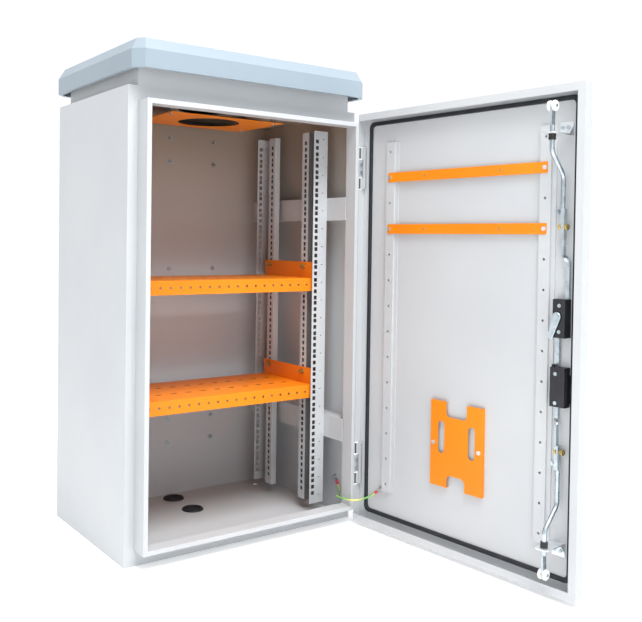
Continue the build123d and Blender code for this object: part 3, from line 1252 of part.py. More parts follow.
NODES = {
    "cabinet_shell": cabinet_shell,
    "back_nuts": back_nuts,
    "front_frame": front_frame,
    "roof_neck": roof_neck,
    "roof_cap": roof_cap,
    "fan_plate": fan_plate,
    "fan_plate_fixings": fan_plate_fixings,
    "front_rail_right": rail,
    "front_rail_left": lambda: left(rail()),
    "rear_rail_right": lambda: rear(rail()),
    "rear_rail_left": lambda: left(rear(rail())),
    "lower_beam_right": lambda: side_beam(BEAM_LOWS[0]),
    "lower_beam_left": lambda: left(side_beam(BEAM_LOWS[0])),
    "upper_beam_right": lambda: side_beam(BEAM_LOWS[1]),
    "upper_beam_left": lambda: left(side_beam(BEAM_LOWS[1])),
    "lower_shelf": lambda: shelf(SHELF_TOPS[0]),
    "upper_shelf": lambda: shelf(SHELF_TOPS[1]),
    "shelf_bolts": shelf_bolts,
    "cable_grommets": cable_grommets,
    "lower_hinge_bracket": lambda: hinge_bracket(HINGE_LOWS[0]),
    "upper_hinge_bracket": lambda: hinge_bracket(HINGE_LOWS[1]),
    "hinge_pins": hinge_pins,
    "lower_hinge_leaf": lambda: hinge_leaf(HINGE_LOWS[0]),
    "upper_hinge_leaf": lambda: hinge_leaf(HINGE_LOWS[1]),
    "door_panel": door_panel,
    "door_gasket": door_gasket,
    "door_strip_left": lambda: door_strip(STRIPS[0]),
    "door_strip_right": lambda: door_strip(STRIPS[1]),
    "lower_cross_bar": lambda: cross_bar(BAR_LOWS[0]),
    "upper_cross_bar": lambda: cross_bar(BAR_LOWS[1]),
    "cross_bar_screws": cross_bar_screws,
    "document_holder": document_holder,
    "door_fixing_screws": door_fixing_screws,
    "door_studs": door_studs,
    "gear_housing": gear_housing,
    "lock_housing": lock_housing,
    "upper_guide_bracket": lambda: guide_bracket(0),
    "lower_guide_bracket": lambda: guide_bracket(1),
    "upper_bush": lambda: bush(0),
    "lower_bush": lambda: bush(1),
    "handle_base": handle_base,
    "lock_spindle": lock_spindle,
    "lock_cam": lock_cam,
    "lock_plug": lock_plug,
    "handle_lever": handle_lever,
    "lever_pin": lever_pin,
    "upper_rack_bar": lambda: rack_bar(0),
    "lower_rack_bar": lambda: rack_bar(1),
    "upper_rod": lambda: lock_rod(0),
    "lower_rod": lambda: lock_rod(1),
    "upper_joint_bolt": lambda: joint_bolt(0),
    "lower_joint_bolt": lambda: joint_bolt(1),
    "upper_roller_inner": lambda: roller(0, -1),
    "upper_roller_outer": lambda: roller(0, 1),
    "lower_roller_inner": lambda: roller(1, -1),
    "lower_roller_outer": lambda: roller(1, 1),
    "body_earth_terminal": lambda: body_terminal_place().location * earth_terminal(),
    "door_earth_terminal": lambda: hang(door_terminal_place().location * earth_terminal()),
    "earth_wire": earth_wire,
}

os.makedirs("parts", exist_ok=True)
for name, make in NODES.items():
    export_step(make(), f"parts/{name}.step")
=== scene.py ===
import json
import logging
from dataclasses import dataclass
from enum import Enum
from math import cos, pi, radians, sin
from typing import Any, Callable, Sequence

import bpy
from mathutils import Matrix, Vector

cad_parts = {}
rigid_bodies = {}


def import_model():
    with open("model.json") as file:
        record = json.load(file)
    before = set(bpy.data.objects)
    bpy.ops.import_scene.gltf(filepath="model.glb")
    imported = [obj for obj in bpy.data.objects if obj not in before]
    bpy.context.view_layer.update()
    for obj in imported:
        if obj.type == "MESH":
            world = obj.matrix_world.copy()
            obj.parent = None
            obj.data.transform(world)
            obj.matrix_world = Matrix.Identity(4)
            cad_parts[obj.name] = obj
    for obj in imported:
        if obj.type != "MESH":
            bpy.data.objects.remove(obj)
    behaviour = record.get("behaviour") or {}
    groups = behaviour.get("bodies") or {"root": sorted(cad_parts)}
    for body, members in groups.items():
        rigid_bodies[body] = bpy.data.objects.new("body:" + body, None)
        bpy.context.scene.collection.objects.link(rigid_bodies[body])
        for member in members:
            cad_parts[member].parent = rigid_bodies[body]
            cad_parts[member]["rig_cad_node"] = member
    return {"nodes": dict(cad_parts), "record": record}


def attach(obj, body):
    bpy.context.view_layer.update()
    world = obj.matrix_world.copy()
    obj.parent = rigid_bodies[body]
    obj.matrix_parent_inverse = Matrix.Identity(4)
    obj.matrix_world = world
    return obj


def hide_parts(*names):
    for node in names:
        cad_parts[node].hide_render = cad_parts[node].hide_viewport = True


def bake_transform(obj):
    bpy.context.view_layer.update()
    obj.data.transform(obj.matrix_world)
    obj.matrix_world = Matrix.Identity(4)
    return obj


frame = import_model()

log = logging.getLogger("cabinet")

Colour = tuple[float, float, float]
Point = tuple[float, float, float]
Box = tuple[Point, Point]

IMAGE_WIDTH = 642
IMAGE_HEIGHT = 622
MM = 0.001


class Surface(Enum):
    """The finishes that pieces of the cabinet take."""

    BODY = "body_paint"
    ROOF = "roof_paint"
    ORANGE = "orange_paint"
    ZINC = "zinc"
    YELLOW_ZINC = "yellow_zinc"
    BLACK = "black_plastic"
    RUBBER = "rubber"
    NYLON = "white_plastic"
    NICKEL = "lock_brass"
    WIRE = "wire_insulation"
    PALE_ZINC = "pale_zinc"


class Value:
    """A shader output that takes part in Python expressions."""

    def __init__(self, graph: "Graph", socket: bpy.types.NodeSocket) -> None:
        """Wraps one output socket.

        Args:
            graph: The graph that the socket belongs to.
            socket: The output socket.
        """
        self.graph = graph
        self.socket = socket

    def _math(self, operation: str, *terms: Any) -> "Value":
        """Adds one Math node over the given terms."""
        return self.graph.node("ShaderNodeMath", {"operation": operation}, terms)

    def __add__(self, other: Any) -> "Value":
        """self + other."""
        return self._math("ADD", self, other)

    def __radd__(self, other: Any) -> "Value":
        """other + self."""
        return self._math("ADD", other, self)

    def __sub__(self, other: Any) -> "Value":
        """self - other."""
        return self._math("SUBTRACT", self, other)

    def __rsub__(self, other: Any) -> "Value":
        """other - self."""
        return self._math("SUBTRACT", other, self)

    def __mul__(self, other: Any) -> "Value":
        """self * other."""
        return self._math("MULTIPLY", self, other)

    def __rmul__(self, other: Any) -> "Value":
        """other * self."""
        return self._math("MULTIPLY", other, self)

    def __gt__(self, other: Any) -> "Value":
        """1 where self is greater than other, else 0."""
        return self._math("GREATER_THAN", self, other)

    def __lt__(self, other: Any) -> "Value":
        """1 where self is less than other, else 0."""
        return self._math("LESS_THAN", self, other)

    def within(self, low: float, high: float) -> "Value":
        """1 between two values, else 0."""
        return (self > low) * (self < high)

    def near_step(self, pitch: float, reach: float) -> "Value":
        """1 within a reach of each multiple of a pitch, else 0."""
        return self._math("PINGPONG", self, pitch / 2) < reach

    def ramp(self, low: float, high: float) -> "Value":
        """0 up to low, 1 from high on, and smooth between.

        Args:
            low: The value that gives 0.
            high: The value that gives 1.

        Returns:
            The smoothed value.
        """
        settings = {"interpolation_type": "SMOOTHSTEP"}
        return self.graph.node("ShaderNodeMapRange", settings, (self, low, high, 0.0, 1.0))


class Graph:
    """The node tree of one material."""

    def __init__(self, name: str) -> None:
        """Makes an empty material.

        Args:
            name: The material's name.
        """
        self.material = bpy.data.materials.new(name)
        self.material.use_nodes = True
        self.tree = self.material.node_tree
        self.tree.nodes.clear()

    def node(self, kind: str, settings: dict[str, Any], inputs: Any, output: int | str = 0) -> Value:
        """Adds a node, sets it up and fills its sockets.

        Args:
            kind: The node's type.
            settings: Properties, set before the sockets.
            inputs: Values or links, in order or by socket name or index.
            output: The output to hand back.

        Returns:
            The chosen output.
        """
        made = self.tree.nodes.new(kind)
        for key, setting in settings.items():
            setattr(made, key, setting)
        pairs = inputs.items() if isinstance(inputs, dict) else enumerate(inputs)
        for key, entry in pairs:
            if isinstance(entry, Value):
                self.tree.links.new(entry.socket, made.inputs[key])
            else:
                made.inputs[key].default_value = entry
        return Value(self, made.outputs[output]) if made.outputs else Value(self, None)

    def place(self) -> Value:
        """The point on the surface, in metres."""
        return self.node("ShaderNodeTexCoord", {}, (), "Object")

    def parts(self, vector: Value) -> list[Value]:
        """The X, Y and Z of a vector."""
        split = self.tree.nodes.new("ShaderNodeSeparateXYZ")
        self.tree.links.new(vector.socket, split.inputs[0])
        return [Value(self, output) for output in split.outputs]

    def noise(self, scale: float, detail: float = 2.0, stretch: Point = (1.0, 1.0, 1.0)) -> Value:
        """Noise over the surface, about 0.5 at its middle.

        Args:
            scale: Waves in a metre.
            detail: Octaves.
            stretch: Scale along each axis.

        Returns:
            The noise value.
        """
        where = self.node("ShaderNodeMapping", {}, {"Vector": self.place(), "Scale": stretch})
        return self.node("ShaderNodeTexNoise", {}, {"Vector": where, "Scale": scale, "Detail": detail})

    def blend(self, share: Any, first: Any, second: Any) -> Value:
        """A colour between two others.

        Args:
            share: 0 for the first, 1 for the second.
            first: A colour or a link.
            second: A colour or a link.

        Returns:
            The mixed colour.
        """
        inputs = {0: share, 6: self.rgba(first), 7: self.rgba(second)}
        return self.node("ShaderNodeMix", {"data_type": "RGBA"}, inputs, 2)

    def rgba(self, colour: Any) -> Any:
        """A colour with its fourth number, or the link as it is."""
        return colour if isinstance(colour, Value) else (*colour, 1.0)

    def bump(self, height: Value, depth: float, strength: float = 1.0) -> Value:
        """A bumped normal.

        Args:
            height: The height, 0 to 1.
            depth: The real depth in metres that a height of 1 has.
            strength: The effect's share.

        Returns:
            The normal.
        """
        inputs = {"Height": height, "Distance": depth, "Strength": strength}
        return self.node("ShaderNodeBump", {}, inputs, "Normal")

    def finish(self, **sockets: Any) -> bpy.types.Material:
        """Ends the material in a surface shader.

        Args:
            **sockets: The shader's sockets, with _ for a space.

        Returns:
            The material.
        """
        inputs = {key.replace("_", " "): entry for key, entry in sockets.items()}
        shader = self.node("ShaderNodeBsdfPrincipled", {}, inputs, "BSDF")
        self.node("ShaderNodeOutputMaterial", {}, {"Surface": shader})
        return self.material


def inside(parts: Sequence[Value], box: Box) -> Value:
    """The share of a surface that lies in a box.

    Args:
        parts: The X, Y and Z of the place.
        box: The box's lowest and highest corner.

    Returns:
        1 inside the box, else 0.
    """
    share: Any = 1.0
    for part, low, high in zip(parts, *box):
        share = part.within(low, high) * share
    return share


@dataclass(frozen=True)
class PowderCoat:
    """Baked paint with a fine grain. Scales are in waves in a metre."""

    name: str
    colour: Colour
    shade: Colour
    roughness: float = 0.42
    grain: float = 900.0
    grain_depth: float = 0.00003
    gloss: float = 0.45
    cloud: float = 3.5
    specks: float = 260.0
    speck_share: float = 0.25
    wear: float = 24.0
    wear_range: float = 0.12

    def ground(self, graph: Graph) -> Value:
        """The paint's own colour, which clouds softly over the surface."""
        return graph.blend(graph.noise(self.cloud, 3.0).ramp(0.3, 0.7), self.colour, self.shade)

    def coated(self, graph: Graph, colour: Value) -> bpy.types.Material:
        """Ends a graph in this paint's roughness, grain and gloss.

        Args:
            graph: The graph.
            colour: The colour over the surface.

        Returns:
            The material.
        """
        rough = graph.noise(self.wear, 3.0) * self.wear_range + (self.roughness - self.wear_range / 2)
        normal = graph.bump(graph.noise(self.grain, 1.0), self.grain_depth)
        return graph.finish(Base_Color=colour, Roughness=rough, Normal=normal,
                            Specular_IOR_Level=self.gloss)

    def material(self) -> bpy.types.Material:
        """The plain paint as a material."""
        graph = Graph(self.name)
        specks = graph.noise(self.specks, 2.0).ramp(0.62, 0.78) * self.speck_share
        return self.coated(graph, graph.blend(specks, self.ground(graph), self.shade))

    def with_painted_shade(self, name: str, boxes: Sequence[Box], dark: Colour,
               shade: tuple[Box, Colour] | None = None) -> bpy.types.Material:
        """The same paint with painted shade: a dark place inside each of some boxes.

        Args:
            name: The material's name.
            boxes: The boxes.
            dark: The colour of the painted shade inside them.
            shade: A box whose surfaces darken with height as painted shade, and the colour that they go
                to.

        Returns:
            The material.
        """
        graph = Graph(name)
        parts = graph.parts(graph.place())
        colour = self.ground(graph)
        # painted shade: surfaces inside the shade box darken towards its top
        if shade:
            room, painted_shade_colour = shade
            rise = parts[2].ramp(room[0][2], room[1][2])
            colour = graph.blend(inside(parts, room) * rise, colour, painted_shade_colour)
        # painted shade: surfaces inside each box take the dark colour
        covered: Any = 0.0
        for box in boxes:
            covered = inside(parts, box) + covered
        return self.coated(graph, graph.blend(covered, colour, dark))


@dataclass(frozen=True)
class PlatedSteel:
    """Zinc or nickel plate on steel, with a cloudy sheen and fine lines drawn along Z."""

    name: str
    colour: Colour
    cloud: Colour
    roughness: float = 0.3
    clouds: float = 60.0
    lines: float = 420.0
    draw: Point = (1.0, 1.0, 0.06)
    line_depth: float = 0.00002
    sheen: float = 150.0
    sheen_range: float = 0.2

    def material(self) -> bpy.types.Material:
        """The plate as a material."""
        graph = Graph(self.name)
        colour = graph.blend(graph.noise(self.clouds, 4.0).ramp(0.35, 0.65), self.colour, self.cloud)
        rough = graph.noise(self.sheen, 2.0) * self.sheen_range + (self.roughness - self.sheen_range / 2)
        normal = graph.bump(graph.noise(self.lines, 1.0, self.draw), self.line_depth, 0.6)
        return graph.finish(Base_Color=colour, Metallic=0.85, Roughness=rough, Normal=normal)


@dataclass(frozen=True)
class Moulding:
    """Moulded plastic or rubber with an eroded grain."""

    name: str
    colour: Colour
    dust_and_hole_shade: Colour
    roughness: float
    grain: float = 700.0
    depth: float = 0.00004
    dust: float = 35.0
    grip: float = 0.16

    def material(self) -> bpy.types.Material:
        """The plastic as a material."""
        graph = Graph(self.name)
        grain = graph.noise(self.grain, 2.0)
        dust = graph.noise(self.dust, 4.0).ramp(0.45, 0.8) * 0.6
        colour = graph.blend(dust, self.colour, self.dust_and_hole_shade)
        rough = grain * self.grip + (self.roughness - self.grip / 2)
        return graph.finish(Base_Color=colour, Roughness=rough, Normal=graph.bump(grain, self.depth))


@dataclass(frozen=True)
class Insulation:
    """Green wire insulation with a yellow stripe, which the piece's stripe attribute places."""

    name: str = "wire insulation"
    green: Colour = (0.19, 0.52, 0.12)
    yellow: Colour = (0.88, 0.84, 0.22)

    def material(self) -> bpy.types.Material:
        """The insulation as a material."""
        graph = Graph(self.name)
        stripe = graph.node("ShaderNodeAttribute", {"attribute_name": "stripe"}, (), "Fac")
        colour = graph.blend(stripe > 0.5, self.green, self.yellow)
        rough = graph.noise(300.0) * 0.1 + 0.32
        return graph.finish(Base_Color=colour, Roughness=rough)


@dataclass(frozen=True)
class Terminal:
    """A plated ring lug and stud whose crimp is covered by a coloured sleeve."""

    name: str
    stud: Point
    direction: Point
    start: float = 9.2 * MM
    metal: Colour = (0.62, 0.66, 0.68)
    sleeve: Colour = (0.70, 0.05, 0.08)

    def material(self) -> bpy.types.Material:
        """The terminal as a material, red from where the sleeve starts."""
        graph = Graph(self.name)
        kind = "ShaderNodeVectorMath"
        offset = graph.node(kind, {"operation": "SUBTRACT"}, (graph.place(), self.stud))
        along = graph.node(kind, {"operation": "DOT_PRODUCT"}, (offset, self.direction), "Value")
        covered = along > self.start
        cloud = graph.noise(90.0, 3.0).ramp(0.4, 0.6)
        metal = graph.blend(cloud, self.metal, tuple(0.85 * part for part in self.metal))
        colour = graph.blend(covered, metal, self.sleeve)
        return graph.finish(Base_Color=colour, Metallic=(1.0 - covered) * 0.85,
                            Roughness=covered * 0.15 + 0.3)


FINISHES: dict[Surface, Any] = {
    Surface.BODY: PowderCoat("light grey paint", (0.575, 0.595, 0.61), (0.545, 0.565, 0.585)),
    Surface.ROOF: PowderCoat("blue-grey paint", (0.32, 0.38, 0.435), (0.295, 0.36, 0.415)),
    Surface.ORANGE: PowderCoat("orange paint", (0.95, 0.275, 0.010), (0.88, 0.235, 0.008), 0.40,
                               gloss=0.28),
    Surface.ZINC: PlatedSteel("bright zinc", (0.56, 0.63, 0.67), (0.42, 0.49, 0.54)),
    Surface.PALE_ZINC: PlatedSteel("pale zinc", (0.86, 0.89, 0.91), (0.74, 0.78, 0.81), 0.42),
    Surface.YELLOW_ZINC: PlatedSteel("yellow zinc", (0.66, 0.48, 0.16), (0.36, 0.31, 0.15), 0.3),
    Surface.BLACK: Moulding("black plastic", (0.012, 0.013, 0.017), (0.03, 0.03, 0.036), 0.45),
    Surface.RUBBER: Moulding("seal rubber", (0.010, 0.013, 0.018), (0.028, 0.032, 0.040), 0.62, 500.0),
    Surface.NYLON: Moulding("white nylon", (0.86, 0.86, 0.84), (0.78, 0.77, 0.74), 0.3, 300.0),
    Surface.NICKEL: PlatedSteel("nickelled plug", (0.70, 0.66, 0.52), (0.56, 0.53, 0.42), 0.24),
    Surface.WIRE: Insulation(),
}


class Dresser:
    """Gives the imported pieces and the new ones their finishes."""

    PALE = ("upper_guide_bracket", "lower_guide_bracket", "cross_bar_screws")

    def __init__(self) -> None:
        """Builds each finish once."""
        self.materials = {surface: finish.material() for surface, finish in FINISHES.items()}

    def dress(self, piece: bpy.types.Object, surface: Surface) -> None:
        """Puts a finish on every material slot of a piece.

        Args:
            piece: The piece.
            surface: Its finish.
        """
        self.put(piece, self.materials[surface])

    def put(self, piece: bpy.types.Object, material: bpy.types.Material) -> None:
        """Puts a material on every slot of a piece.

        Args:
            piece: The piece.
            material: The material.
        """
        if not piece.material_slots:
            piece.data.materials.append(material)
        for slot in piece.material_slots:
            slot.link = "OBJECT" if "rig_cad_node" in piece else "DATA"
            slot.material = material

    def dress_nodes(self) -> None:
        """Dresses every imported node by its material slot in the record."""
        slots = {row["node"]: row["material_slot"] for row in frame["record"]["subparts"]}
        for name, piece in frame["nodes"].items():
            self.dress(piece, Surface(slots[name]))
            log.info("dressed %s in %s", name, slots[name])
        for name in self.PALE:
            self.dress(frame["nodes"][name], Surface.PALE_ZINC)


def deselect() -> None:
    """Clears the selection."""
    if bpy.context.object and bpy.context.object.mode != "OBJECT":
        bpy.ops.object.mode_set(mode="OBJECT")
    bpy.ops.object.select_all(action="DESELECT")


def select(piece: bpy.types.Object, kind: str, test: Callable[[Vector], bool]) -> int:
    """Selects a piece's edges or faces by the place of their middles, in edit mode.

    Args:
        piece: The piece, active and in edit mode.
        kind: EDGE or FACE.
        test: True for a middle that is to be selected.

    Returns:
        How many were selected.
    """
    bpy.ops.mesh.select_mode(type=kind)
    bpy.ops.mesh.select_all(action="DESELECT")
    bpy.ops.object.mode_set(mode="OBJECT")
    mesh = piece.data
    found = 0
    for element in mesh.edges if kind == "EDGE" else mesh.polygons:
        corners = [mesh.vertices[index].co for index in element.vertices]
        element.select = test(sum(corners, Vector()) / len(corners))
        found += element.select
    bpy.ops.object.mode_set(mode="EDIT")
    return found


def apply_modifier(piece: bpy.types.Object, kind: str, **settings: Any) -> None:
    """Adds a modifier to a piece and applies it.

    Args:
        piece: The piece.
        kind: The modifier's type.
        **settings: Its settings.
    """
    deselect()
    piece.select_set(True)
    bpy.context.view_layer.objects.active = piece
    modifier = piece.modifiers.new(kind.lower(), kind)
    for key, setting in settings.items():
        setattr(modifier, key, setting)
    bpy.ops.object.modifier_apply(modifier=modifier.name)


@dataclass
class RackRails:
    """The four rack rails, each folded from one strip into face, web, fold, flange and lip."""

    units: int = 20
    unit: float = 44.45 * MM
    steps: tuple[float, ...] = (6.35 * MM, 22.225 * MM, 38.1 * MM)
    low: float = 28.0 * MM
    margin: float = 19.5 * MM
    column: float = 232.55 * MM
    hole: float = 9.5 * MM
    sheet: float = 1.5 * MM
    face_in: float = 222.8 * MM
    face_out: float = 264.5 * MM
    flange_x: float = 235.0 * MM
    front: float = -140.0 * MM
    rear: float = 115.0 * MM
    web: float = 39.0 * MM
    flange: float = 26.0 * MM
    lip: float = 15.0 * MM
    tick_x: float = 251.0 * MM
    tick_size: tuple[float, float] = (4.5 * MM, 1.6 * MM)
    names: tuple[str, ...] = ("front_rail_right", "front_rail_left", "rear_rail_right", "rear_rail_left")
    skin: float = 0.05 * MM
    # painted shade: the paint colour inside the folded profiles
    inside: Colour = (0.15, 0.145, 0.145)

    def shaded_hollows(self) -> list[Box]:
        """The boxes inside the four profiles, where the paint is darkened as painted shade."""
        half = self.sheet / 2
        fold = self.front + self.web
        depths = ((self.front + self.sheet + self.skin, fold - half),
                  (fold - half, fold + self.flange - half / 2))
        starts = (self.face_in, self.flange_x + 0.8 * self.sheet)
        boxes = []
        for start, (low, high) in zip(starts, depths):
            turned = (self.front + self.rear - high, self.front + self.rear - low)
            across = (start, self.face_out - half)
            for near, far in ((low, high), turned):
                for left, right in (across, (-across[1], -across[0])):
                    boxes.append(((left, near, 0.0), (right, far, 1.0)))
        return boxes

    def holes(self) -> list[float]:
        """The heights of the hole middles."""
        start = self.low + self.margin
        return [start + index * self.unit + step for index in range(self.units) for step in self.steps]

    def ticks(self) -> list[float]:
        """The heights of the unit marks."""
        start = self.low + self.margin
        return [start + index * self.unit for index in range(self.units + 1)]

    def strip(self) -> bpy.types.Object:
        """The front right rail as a thin folded strip, before its holes."""
        half = self.sheet / 2
        high = self.low + self.units * self.unit + 2 * self.margin
        width = self.face_out - half - self.face_in
        deselect()
        middle = (self.face_in + width / 2, self.front + half, (self.low + high) / 2)
        bpy.ops.mesh.primitive_plane_add(size=1.0, location=middle, rotation=(pi / 2, 0.0, 0.0))
        strip = bpy.context.object
        strip.name = "rack_rail"
        strip.scale = (width, high - self.low, 1.0)
        bpy.ops.object.transform_apply(location=True, rotation=True, scale=True)
        bpy.ops.object.mode_set(mode="EDIT")
        edge = Vector((self.face_out - half, self.front + half, middle[2]))
        folds = ((0.0, self.web - self.sheet, 0.0),
                 (self.flange_x + self.sheet - self.face_out, 0.0, 0.0),
                 (0.0, self.flange + half, 0.0),
                 (self.lip, 0.0, 0.0))
        for fold in folds:
            select(strip, "EDGE", lambda place, edge=edge: (place - edge).length < 0.1 * MM)
            bpy.ops.mesh.extrude_region_move(TRANSFORM_OT_translate={"value": fold})
            edge = edge + Vector(fold)
        return strip

    def cut(self, strip: bpy.types.Object) -> None:
        """Cuts both hole columns and the unit marks into the strip, in edit mode.

        Args:
            strip: The folded strip.
        """
        half = self.hole / 2
        flange_y = self.front + self.web + self.flange / 2
        levels = [height + side * half for height in self.holes() for side in (-1, 1)]
        levels += [height + side * self.tick_size[1] / 2 for height in self.ticks() for side in (-1, 1)]
        planes = [((0.0, 0.0, level), (0.0, 0.0, 1.0)) for level in levels]
        across = [self.column - half, self.column + half]
        across += [self.tick_x - self.tick_size[0] / 2, self.tick_x + self.tick_size[0] / 2]
        planes += [((x, 0.0, 0.0), (1.0, 0.0, 0.0)) for x in across]
        planes += [((0.0, flange_y + side * half, 0.0), (0.0, 1.0, 0.0)) for side in (-1, 1)]
        for place, normal in planes:
            bpy.ops.mesh.select_all(action="SELECT")
            bpy.ops.mesh.bisect(plane_co=place, plane_no=normal)
        holes, ticks = self.holes(), self.ticks()

        def is_open(place: Vector) -> bool:
            """Whether a face's middle lies in a hole or a mark."""
            on_face = place.y < self.front + self.sheet
            in_level = any(abs(place.z - height) < half for height in holes)
            if on_face and abs(place.x - self.column) < half:
                return in_level
            if on_face and abs(place.x - self.tick_x) < self.tick_size[0] / 2:
                return any(abs(place.z - height) < self.tick_size[1] / 2 for height in ticks)
            return in_level and abs(place.y - flange_y) < half and place.x < self.flange_x + self.sheet

        select(strip, "FACE", is_open)
        bpy.ops.mesh.delete(type="FACE")
        bpy.ops.object.mode_set(mode="OBJECT")

    def build(self, dresser: Dresser) -> None:
        """Makes the four rails.

        Args:
            dresser: The finishes.
        """
        first = self.strip()
        self.cut(first)
        apply_modifier(first, "SOLIDIFY", thickness=self.sheet, offset=0.0, use_even_offset=True)
        middle = (self.front + self.rear) / 2
        turn = Matrix.Translation((0.0, 2 * middle, 0.0)) @ Matrix.Scale(-1.0, 4, (0.0, 1.0, 0.0))
        across = Matrix.Scale(-1.0, 4, (1.0, 0.0, 0.0))
        body: PowderCoat = FINISHES[Surface.BODY]
        # painted shade inside the rails' hollow profiles
        paint = body.with_painted_shade("rail paint", self.shaded_hollows(), self.inside)
        places = (Matrix.Identity(4), across, turn, turn @ across)
        for name, place in zip(self.names, places):
            mesh = first.data.copy()
            mesh.transform(place)
            if place.determinant() < 0:
                mesh.flip_normals()
            rail = bpy.data.objects.new(name.replace("rail", "rack_rail"), mesh)
            bpy.context.scene.collection.objects.link(rail)
            dresser.put(rail, paint)
            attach(rail, "cabinet")
            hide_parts(name)
            log.info("%s: %d faces", rail.name, len(mesh.polygons))
        bpy.data.objects.remove(first)


def disc(name: str, sides: int, radius: float, start: float, length: float) -> bpy.types.Object:
    """One turned or hexagon piece along -X, its outer face dished by an inset.

    Args:
        name: The piece's name.
        sides: How many sides it has.
        radius: Its radius.
        start: The X value that it starts from.
        length: Its length.

    Returns:
        The piece.
    """
    deselect()
    middle = (start - length / 2, 0.0, 0.0)
    bpy.ops.mesh.primitive_cylinder_add(vertices=sides, radius=radius, depth=length, location=middle,
                                        rotation=(0.0, pi / 2, 0.0))
    piece = bpy.context.object
    piece.name = name
    bpy.ops.object.transform_apply(location=True, rotation=True, scale=True)
    bpy.ops.object.mode_set(mode="EDIT")
    select(piece, "FACE", lambda place: place.x < start - length + 0.01 * MM)
    bpy.ops.mesh.inset(thickness=radius * 0.12, depth=radius * 0.08)
    bpy.ops.object.mode_set(mode="OBJECT")
    bpy.ops.object.shade_smooth_by_angle(angle=radians(30.0))
    return piece


@dataclass
class ShelfBolts:
    """Yellow bolts through the shelf ears: washer, hexagon nut and the thread's end on the inside."""

    ear: float = 233.5 * MM
    rail: float = 236.5 * MM
    rows: tuple[float, float] = (-88.0 * MM, 63.0 * MM)
    first: float = 85.6 * MM
    unit: float = 44.45 * MM
    units: tuple[int, int] = (6, 12)
    washer: tuple[float, float] = (7.2 * MM, 1.4 * MM)
    nut: tuple[float, float] = (6.2 * MM, 5.0 * MM)
    thread: tuple[float, float] = (3.0 * MM, 5.0 * MM)

    def build(self, dresser: Dresser) -> None:
        """Makes all eight bolts as one piece.

        Args:
            dresser: The finishes.
        """
        inside = self.ear
        outside = self.rail + self.washer[1] + self.nut[1]
        parts = [disc("washer", 32, self.washer[0], inside, self.washer[1]),
                 disc("nut", 6, self.nut[0], inside - self.washer[1], self.nut[1]),
                 disc("shank", 20, self.thread[0], outside,
                           outside - inside + self.washer[1] + self.nut[1] + self.thread[1]),
                 disc("head", 6, self.nut[0], outside, self.nut[1])]
        deselect()
        for part in parts:
            part.select_set(True)
        bpy.context.view_layer.objects.active = parts[0]
        bpy.ops.object.join()
        bolt = bpy.context.object
        meshes = []
        for unit in self.units:
            for row in self.rows:
                for side in (1.0, -1.0):
                    mesh = bolt.data.copy()
                    height = self.first + unit * self.unit
                    place = Matrix.Translation((0.0, row, height))
                    mesh.transform(Matrix.Scale(side, 4, (1.0, 0.0, 0.0)) @ place)
                    if side < 0:
                        mesh.flip_normals()
                    meshes.append(mesh)
        bpy.data.objects.remove(bolt)
        pieces = [bpy.data.objects.new("yellow_shelf_bolts", mesh) for mesh in meshes]
        deselect()
        for piece in pieces:
            bpy.context.scene.collection.objects.link(piece)
            piece.select_set(True)
        bpy.context.view_layer.objects.active = pieces[0]
        bpy.ops.object.join()
        dresser.dress(pieces[0], Surface.YELLOW_ZINC)
        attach(pieces[0], "cabinet")
        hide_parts("shelf_bolts")
        log.info("%s: %d faces", pieces[0].name, len(pieces[0].data.polygons))


@dataclass
class ShelfHoleShade:
    """Painted shade: darker paint round the shelves' slots and lip holes."""

    tops: tuple[float, float] = (324.3 * MM, 591.0 * MM)
    rows: tuple[float, float] = (-62.0 * MM, 18.0 * MM)
    pitch: float = 39.0 * MM
    slot: tuple[float, float] = (7.4 * MM, 5.2 * MM)
    ends: float = 205.0 * MM
    lip_pitch: float = 25.0 * MM
    lip_drop: float = 16.0 * MM
    lip_hole: float = 2.7 * MM
    lip_back: float = -128.0 * MM
    skin: float = 1.0 * MM
    shade_noise: float = 400.0
    # painted shade colour round the slots and holes
    dark: Colour = (0.33, 0.075, 0.006)
    nodes: tuple[str, str] = ("lower_shelf", "upper_shelf")

    def build(self, dresser: Dresser) -> None:
        """Dresses both shelves.

        Args:
            dresser: The finishes.
        """
        paint: PowderCoat = FINISHES[Surface.ORANGE]
        graph = Graph("shelf paint")
        x, y, z = graph.parts(graph.place())
        level: Any = 0.0
        lips: Any = 0.0
        for top in self.tops:
            hole = top - self.lip_drop
            level = z.within(top - self.skin, top + self.skin) + level
            lips = z.within(hole - self.lip_hole, hole + self.lip_hole) + lips
        rows: Any = 0.0
        for row in self.rows:
            rows = y.within(row - self.slot[1], row + self.slot[1]) + rows
        slots = x.near_step(self.pitch, self.slot[0]) * rows * level * x.within(-self.ends, self.ends)
        shifted = x + self.lip_pitch / 2
        holes = shifted.near_step(self.lip_pitch, self.lip_hole) * lips * (y < self.lip_back)
        # painted shade round the slots and lip holes, broken up by noise
        dust_and_hole_shade = (slots + holes) * graph.noise(self.shade_noise, 2.0).ramp(0.2, 0.5)
        made = paint.coated(graph, graph.blend(dust_and_hole_shade, paint.ground(graph), self.dark))
        for node in self.nodes:
            dresser.put(frame["nodes"][node], made)
        log.info("dressed the shelves")


